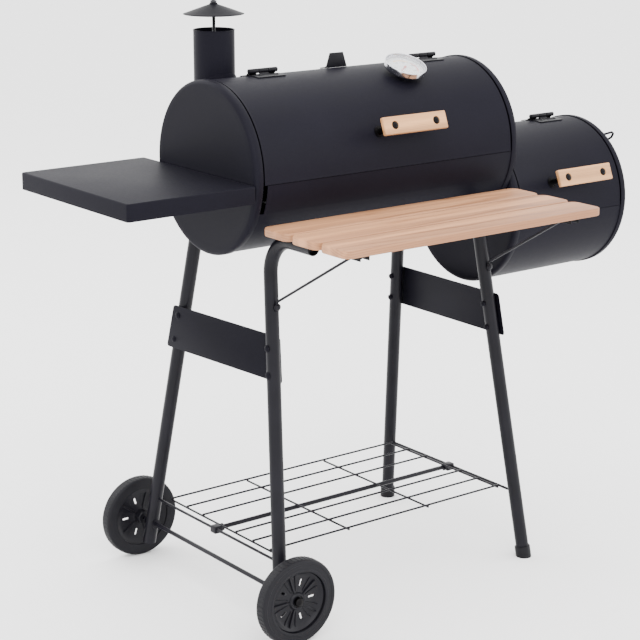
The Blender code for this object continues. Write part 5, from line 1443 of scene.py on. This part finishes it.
class SMOKER_OT_wheels(bpy.types.Operator):
    """Mould both wheels and fit the axle"""

    bl_idname = "smoker.wheels"
    bl_label = "Wheels"

    def execute(self, context):
        sizes = context.scene.smoker_sizes
        for place, side in (("front", -1), ("rear", 1)):
            node = "wheel_" + place
            centre = Vector(JOINT[node + "_spin"]["pos_m"])
            low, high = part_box(node)
            radius = (high.z - low.z) / 2
            out = Y * side
            self.make_tyre(node, centre, out, radius, sizes)
            self.make_core(node, centre, out, sizes)
            cap = "axle_cap_" + place
            cap_low, cap_high = span(cap, out)
            base = cap_low - centre.dot(out)
            half = (cap_high - cap_low) / 2
            dome = [(CAP_RADIUS * cos(radians(turn)), base + half * (1 + sin(radians(turn))))
                    for turn in (0, 20, 40, 60, 80)]
            bm = bmesh.new()
            add_turned(bm, [(0, base), (CAP_RADIUS, base), *dome, (0, base + 2 * half)], centre, out, 32)
            piece(cap + "_dome", bm, "bolt_black", cap, [cap])
        low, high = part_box("axle_rod")
        centre = (low + high) / 2
        reach = Y * (high.y - low.y) / 2
        bm = bmesh.new()
        add_rod(bm, centre - reach, centre + reach, (high.z - low.z) / 2, 32, 0.0006)
        washer = [(0.0040, 0), (0.0090, 0), (0.0090, 0.0013), (0.0040, 0.0013)]
        for place in ("front", "rear"):
            leg = section(f"leg_{place}_left", 2, centre.z)
            for side in (-1, 1):
                at = (centre.x, leg.y + side * (LEG_RADIUS + 0.001), centre.z)
                add_turned(bm, washer, at, Y * side, 28, closed=True)
        piece("axle_bar", bm, "wire_steel", "axle_rod", ["axle_rod"])
        return {"FINISHED"}

    @staticmethod
    def make_tyre(node, centre, out, radius, sizes):
        """The broad tyre band with a lip on both faces and shallow tread ribs."""
        tread = radius - 0.0007
        face = TYRE_HALF - 0.0008
        profile = [(TYRE_INNER + 0.0005, -face), (TYRE_INNER + 0.0020, -TYRE_HALF),
                   (tread - 0.006, -TYRE_HALF)]
        profile += arc((tread - SHOULDER, SHOULDER - TYRE_HALF), SHOULDER, -90, 0, 6)
        profile += arc((tread - SHOULDER, TYRE_HALF - SHOULDER), SHOULDER, 0, 90, 6)
        profile += [(tread - 0.0075, TYRE_HALF), (tread - 0.0085, face), (TYRE_INNER + 0.0055, face),
                    (TYRE_INNER + 0.0045, TYRE_HALF), (TYRE_INNER + 0.0018, TYRE_HALF),
                    (TYRE_INNER, TYRE_HALF - 0.0010)]
        bm = bmesh.new()
        add_turned(bm, profile, centre, out, ROUND, closed=True)
        rib_low = Vector((tread - 0.0008, -0.0012, 0.0050 - TYRE_HALF))
        rib_high = Vector((tread + 0.00065, 0.0012, TYRE_HALF - 0.0050))
        for index in range(sizes.ribs):
            turn = Matrix.Rotation(2 * pi * index / sizes.ribs, 4, "Z")
            add_block(bm, rib_low, rib_high, 0.0, pointing(centre, out) @ turn)
        piece(node + "_tyre", bm, "tyre_plastic", node, [node])

    @staticmethod
    def make_core(node, centre, out, sizes):
        """A dished web with slots, ribs between them, a stepped rim and the hub."""
        rim = CORE_RADIUS
        hub = HUB_RADIUS
        profile = [(AXLE_BORE, -0.0200), (0.0120, -0.0200), (0.0130, -0.0190), (0.0140, -0.0050),
                   (0.0200, -0.0030), (rim - 0.0120, -0.0026), (rim - 0.0050, -0.0060), (rim, -0.0090),
                   (rim, 0.0062), (rim - 0.0022, 0.0070), (rim - 0.0044, 0.0056), (rim - 0.0080, 0.0012),
                   (rim - 0.0140, -0.0002), (hub + 0.0075, 0.0002), (hub + 0.0015, 0.0020), (hub, 0.0050),
                   (hub - 0.0012, 0.0060), (0.0110, 0.0060), (0.0100, 0.0044), (AXLE_BORE, 0.0044)]
        web = bmesh.new()
        add_turned(web, profile, centre, out, ROUND, closed=True)

        def turned_to(share, lean=0.0):
            turn = 2 * pi * share / sizes.spokes + radians(lean)
            return pointing(centre, out) @ Matrix.Rotation(turn, 4, "Z")

        slots = bmesh.new()
        for index in range(sizes.spokes):
            add_block(slots, (hub + 0.0110, -0.0022, -0.02), (rim - 0.0165, 0.0022, 0.02), 0.0020,
                      turned_to(index), 4)
        bm = carve(web, slots)
        for index in range(sizes.spokes):
            add_block(bm, (hub - 0.001, -0.0016, -0.0050), (rim - 0.0030, 0.0016, 0.0036), 0.0007,
                      turned_to(index + 0.5))
            for lean in (-15, 15):
                add_block(bm, (hub + 0.004, -0.0008, -0.0030), (rim - 0.0060, 0.0008, 0.0016), 0.0004,
                          turned_to(index + 0.5, lean))
        piece(node + "_core", bm, "core_plastic", node)


# ---------------------------------------------------------------- rack and grates

class SMOKER_OT_rack(bpy.types.Operator):
    """Weld the wire rack and hang it between the legs"""

    bl_idname = "smoker.rack"
    bl_label = "Lower rack"

    def execute(self, context):
        sizes = context.scene.smoker_sizes
        low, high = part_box("rack")
        wire = sizes.wire
        half = (high.y - low.y) / 2 - 0.00175
        level = high.z - wire
        lower = level - 1.9 * wire
        rows = [(low.y + high.y) / 2 + share * half for share in (-1, -2 / 3, -1 / 3, 1 / 3, 2 / 3, 1)]
        bm = bmesh.new()
        for y in rows:
            add_rod(bm, (low.x, y, level), (high.x, y, level), wire, 12, 0.0004)
        for share in (0.003, 0.324, 0.672, 0.997):
            x = low.x + share * (high.x - low.x)
            add_rod(bm, (x, low.y, lower), (x, high.y, lower), wire, 12, 0.0004)
            for y in rows:
                weld = Matrix.Translation((x, y, level - wire))
                bmesh.ops.create_icosphere(bm, subdivisions=2, radius=wire * 1.22, matrix=weld)
        piece("rack_wires", bm, "wire_steel", "rack", ["rack"])
        for end in ("left", "right"):
            node = "rack_rail_" + end
            rail_low, rail_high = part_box(node)
            at = (rail_low + rail_high) / 2
            bm = bmesh.new()
            add_rod(bm, (at.x, rail_low.y, at.z), (at.x, rail_high.y, at.z), 0.0025, 20, 0.0005)
            piece(node + "_bar", bm, "wire_steel", node, [node])
        rod_low, rod_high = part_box("stretcher_rod")
        at = (rod_low + rod_high) / 2
        bm = bmesh.new()
        add_rod(bm, (rod_low.x, at.y, at.z), (rod_high.x, at.y, at.z), 0.0042, 24, 0.0005)
        for end, inward in (("left", 1), ("right", -1)):
            self.add_clamp(bm, middle("rack_rail_" + end).x, inward, at)
        piece("stretcher_bar", bm, "wire_steel", "stretcher_rod", ["stretcher_rod"])
        return {"FINISHED"}

    @staticmethod
    def add_clamp(bm, rail_x, inward, rod):
        """A clamp block that joins the rod's end to a rail, with its nut on the inner side."""
        outer = rail_x - inward * 0.0050
        inner = rail_x + inward * 0.0130
        add_block(bm, (min(outer, inner), rod.y - 0.0085, rod.z - 0.0075),
                  (max(outer, inner), rod.y + 0.0085, rod.z + 0.0062), 0.0020, segments=3)
        add_nut(bm, (inner, rod.y, rod.z), X * inward, radius=0.0078, height=0.0046)


class SMOKER_OT_grates(bpy.types.Operator):
    """Weld the wire grates that lie inside both drums"""

    bl_idname = "smoker.grates"
    bl_label = "Grates"

    def execute(self, context):
        sizes = context.scene.smoker_sizes
        wire = sizes.grate_wire
        pitch = sizes.grate_pitch
        end_gap = 0.006
        first_gap = 0.006
        for node in ("cooking_grate", "charcoal_grate", "firebox_grate"):
            low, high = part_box(node)
            low.x += end_gap
            high.x -= end_gap
            level = high.z - wire
            lower = level - 1.8 * wire
            left, right, front, back = low.x + wire, high.x - wire, low.y + wire, high.y - wire
            bm = bmesh.new()
            ring = [(left, front, level), (right, front, level), (right, back, level), (left, back, level)]
            add_sweep(bm, eased(ring, 0.010, 5, closed=True), wire * 1.15, 12, closed=True)
            count = int((high.x - low.x - 2 * first_gap) / pitch)
            first = (low.x + high.x) / 2 - (count - 1) * pitch / 2
            for index in range(count):
                x = first + index * pitch
                add_rod(bm, (x, low.y + 0.0008, level), (x, high.y - 0.0008, level), wire, 8)
            for share in (0.25, 0.5, 0.75):
                y = low.y + (high.y - low.y) * share
                add_rod(bm, (left, y, lower), (right, y, lower), wire * 1.1, 10)
            piece(node + "_wires", bm, "grate_plating", node, [node])
        return {"FINISHED"}


# ---------------------------------------------------------------- stage

class SMOKER_OT_stage(bpy.types.Operator):
    """Set the camera, the pale floor and soft studio light"""

    bl_idname = "smoker.stage"
    bl_label = "Stage"

    def execute(self, context):
        scene = context.scene
        camera = bpy.data.cameras.new("camera")
        camera.sensor_width = 36.0
        camera.lens = 103.32
        view = bpy.data.objects.new("camera", camera)
        view.location = (-2.10457, -2.57499, 1.38188)
        view.rotation_euler = (radians(74.8524), 0.0, radians(-37.2005))
        scene.collection.objects.link(view)
        scene.camera = view
        self.add_light("key", (-1.6, -2.6, 3.2), (0.1, 0.0, 0.6), 2.8, 100.0)
        self.add_light("top", (0.2, 0.2, 3.6), (0.0, 0.0, 0.6), 3.4, 40.0)
        self.add_light("fill", (3.2, -2.2, 1.8), (0.0, 0.0, 0.5), 2.8, 40.0)
        self.add_light("rim", (-1.5, 3.2, 2.4), (0.0, 0.0, 0.6), 2.4, 50.0)
        world = bpy.data.worlds.new("studio")
        world.use_nodes = True
        background = world.node_tree.nodes["Background"]
        background.inputs["Color"].default_value = (1.0, 1.0, 1.0, 1.0)
        background.inputs["Strength"].default_value = 3.1
        scene.world = world
        bm = bmesh.new()
        bmesh.ops.create_circle(bm, cap_ends=True, segments=96, radius=14.0)
        mesh = bpy.data.meshes.new("floor")
        bm.to_mesh(mesh)
        bm.free()
        floor = bpy.data.objects.new("floor", mesh)
        mesh.materials.append(finishes("pale_floor"))
        scene.collection.objects.link(floor)
        return {"FINISHED"}

    @staticmethod
    def add_light(name, at, target, size, power):
        """A large square lamp aimed at a point."""
        lamp = bpy.data.lights.new(name, "AREA")
        lamp.shape = "SQUARE"
        lamp.size = size
        lamp.energy = power
        obj = bpy.data.objects.new(name, lamp)
        obj.location = at
        obj.rotation_euler = (Vector(at) - Vector(target)).to_track_quat("Z", "Y").to_euler()
        bpy.context.scene.collection.objects.link(obj)


# ---------------------------------------------------------------- add-on

class SMOKER_PT_panel(bpy.types.Panel):
    """Lists the smoker's operators, sizes and colours"""

    bl_idname = "SMOKER_PT_panel"
    bl_label = "Barrel Smoker"
    bl_space_type = "VIEW_3D"
    bl_region_type = "UI"
    bl_category = "Smoker"

    def draw(self, context):
        column = self.layout.column()
        for operator in OPERATORS:
            column.operator(operator.bl_idname)
        for settings in (context.scene.smoker_sizes, context.scene.smoker_colours):
            for name in settings.__annotations__:
                column.prop(settings, name)


OPERATORS = (
    SMOKER_OT_stage, SMOKER_OT_drums, SMOKER_OT_lids, SMOKER_OT_hinges, SMOKER_OT_handles,
    SMOKER_OT_thermometer, SMOKER_OT_chimney, SMOKER_OT_damper, SMOKER_OT_side_shelf, SMOKER_OT_slats,
    SMOKER_OT_legs, SMOKER_OT_wheels, SMOKER_OT_rack, SMOKER_OT_grates,
)
CLASSES = (SmokerSizes, SmokerColours, *OPERATORS, SMOKER_PT_panel)


def register():
    for cls in CLASSES:
        bpy.utils.register_class(cls)
    bpy.types.Scene.smoker_sizes = PointerProperty(type=SmokerSizes)
    bpy.types.Scene.smoker_colours = PointerProperty(type=SmokerColours)


def unregister():
    del bpy.types.Scene.smoker_colours
    del bpy.types.Scene.smoker_sizes
    for cls in reversed(CLASSES):
        bpy.utils.unregister_class(cls)


def main():
    register()
    for operator in OPERATORS:
        group, name = operator.bl_idname.split(".")
        getattr(getattr(bpy.ops, group), name)()


if __name__ == "__main__":
    main()
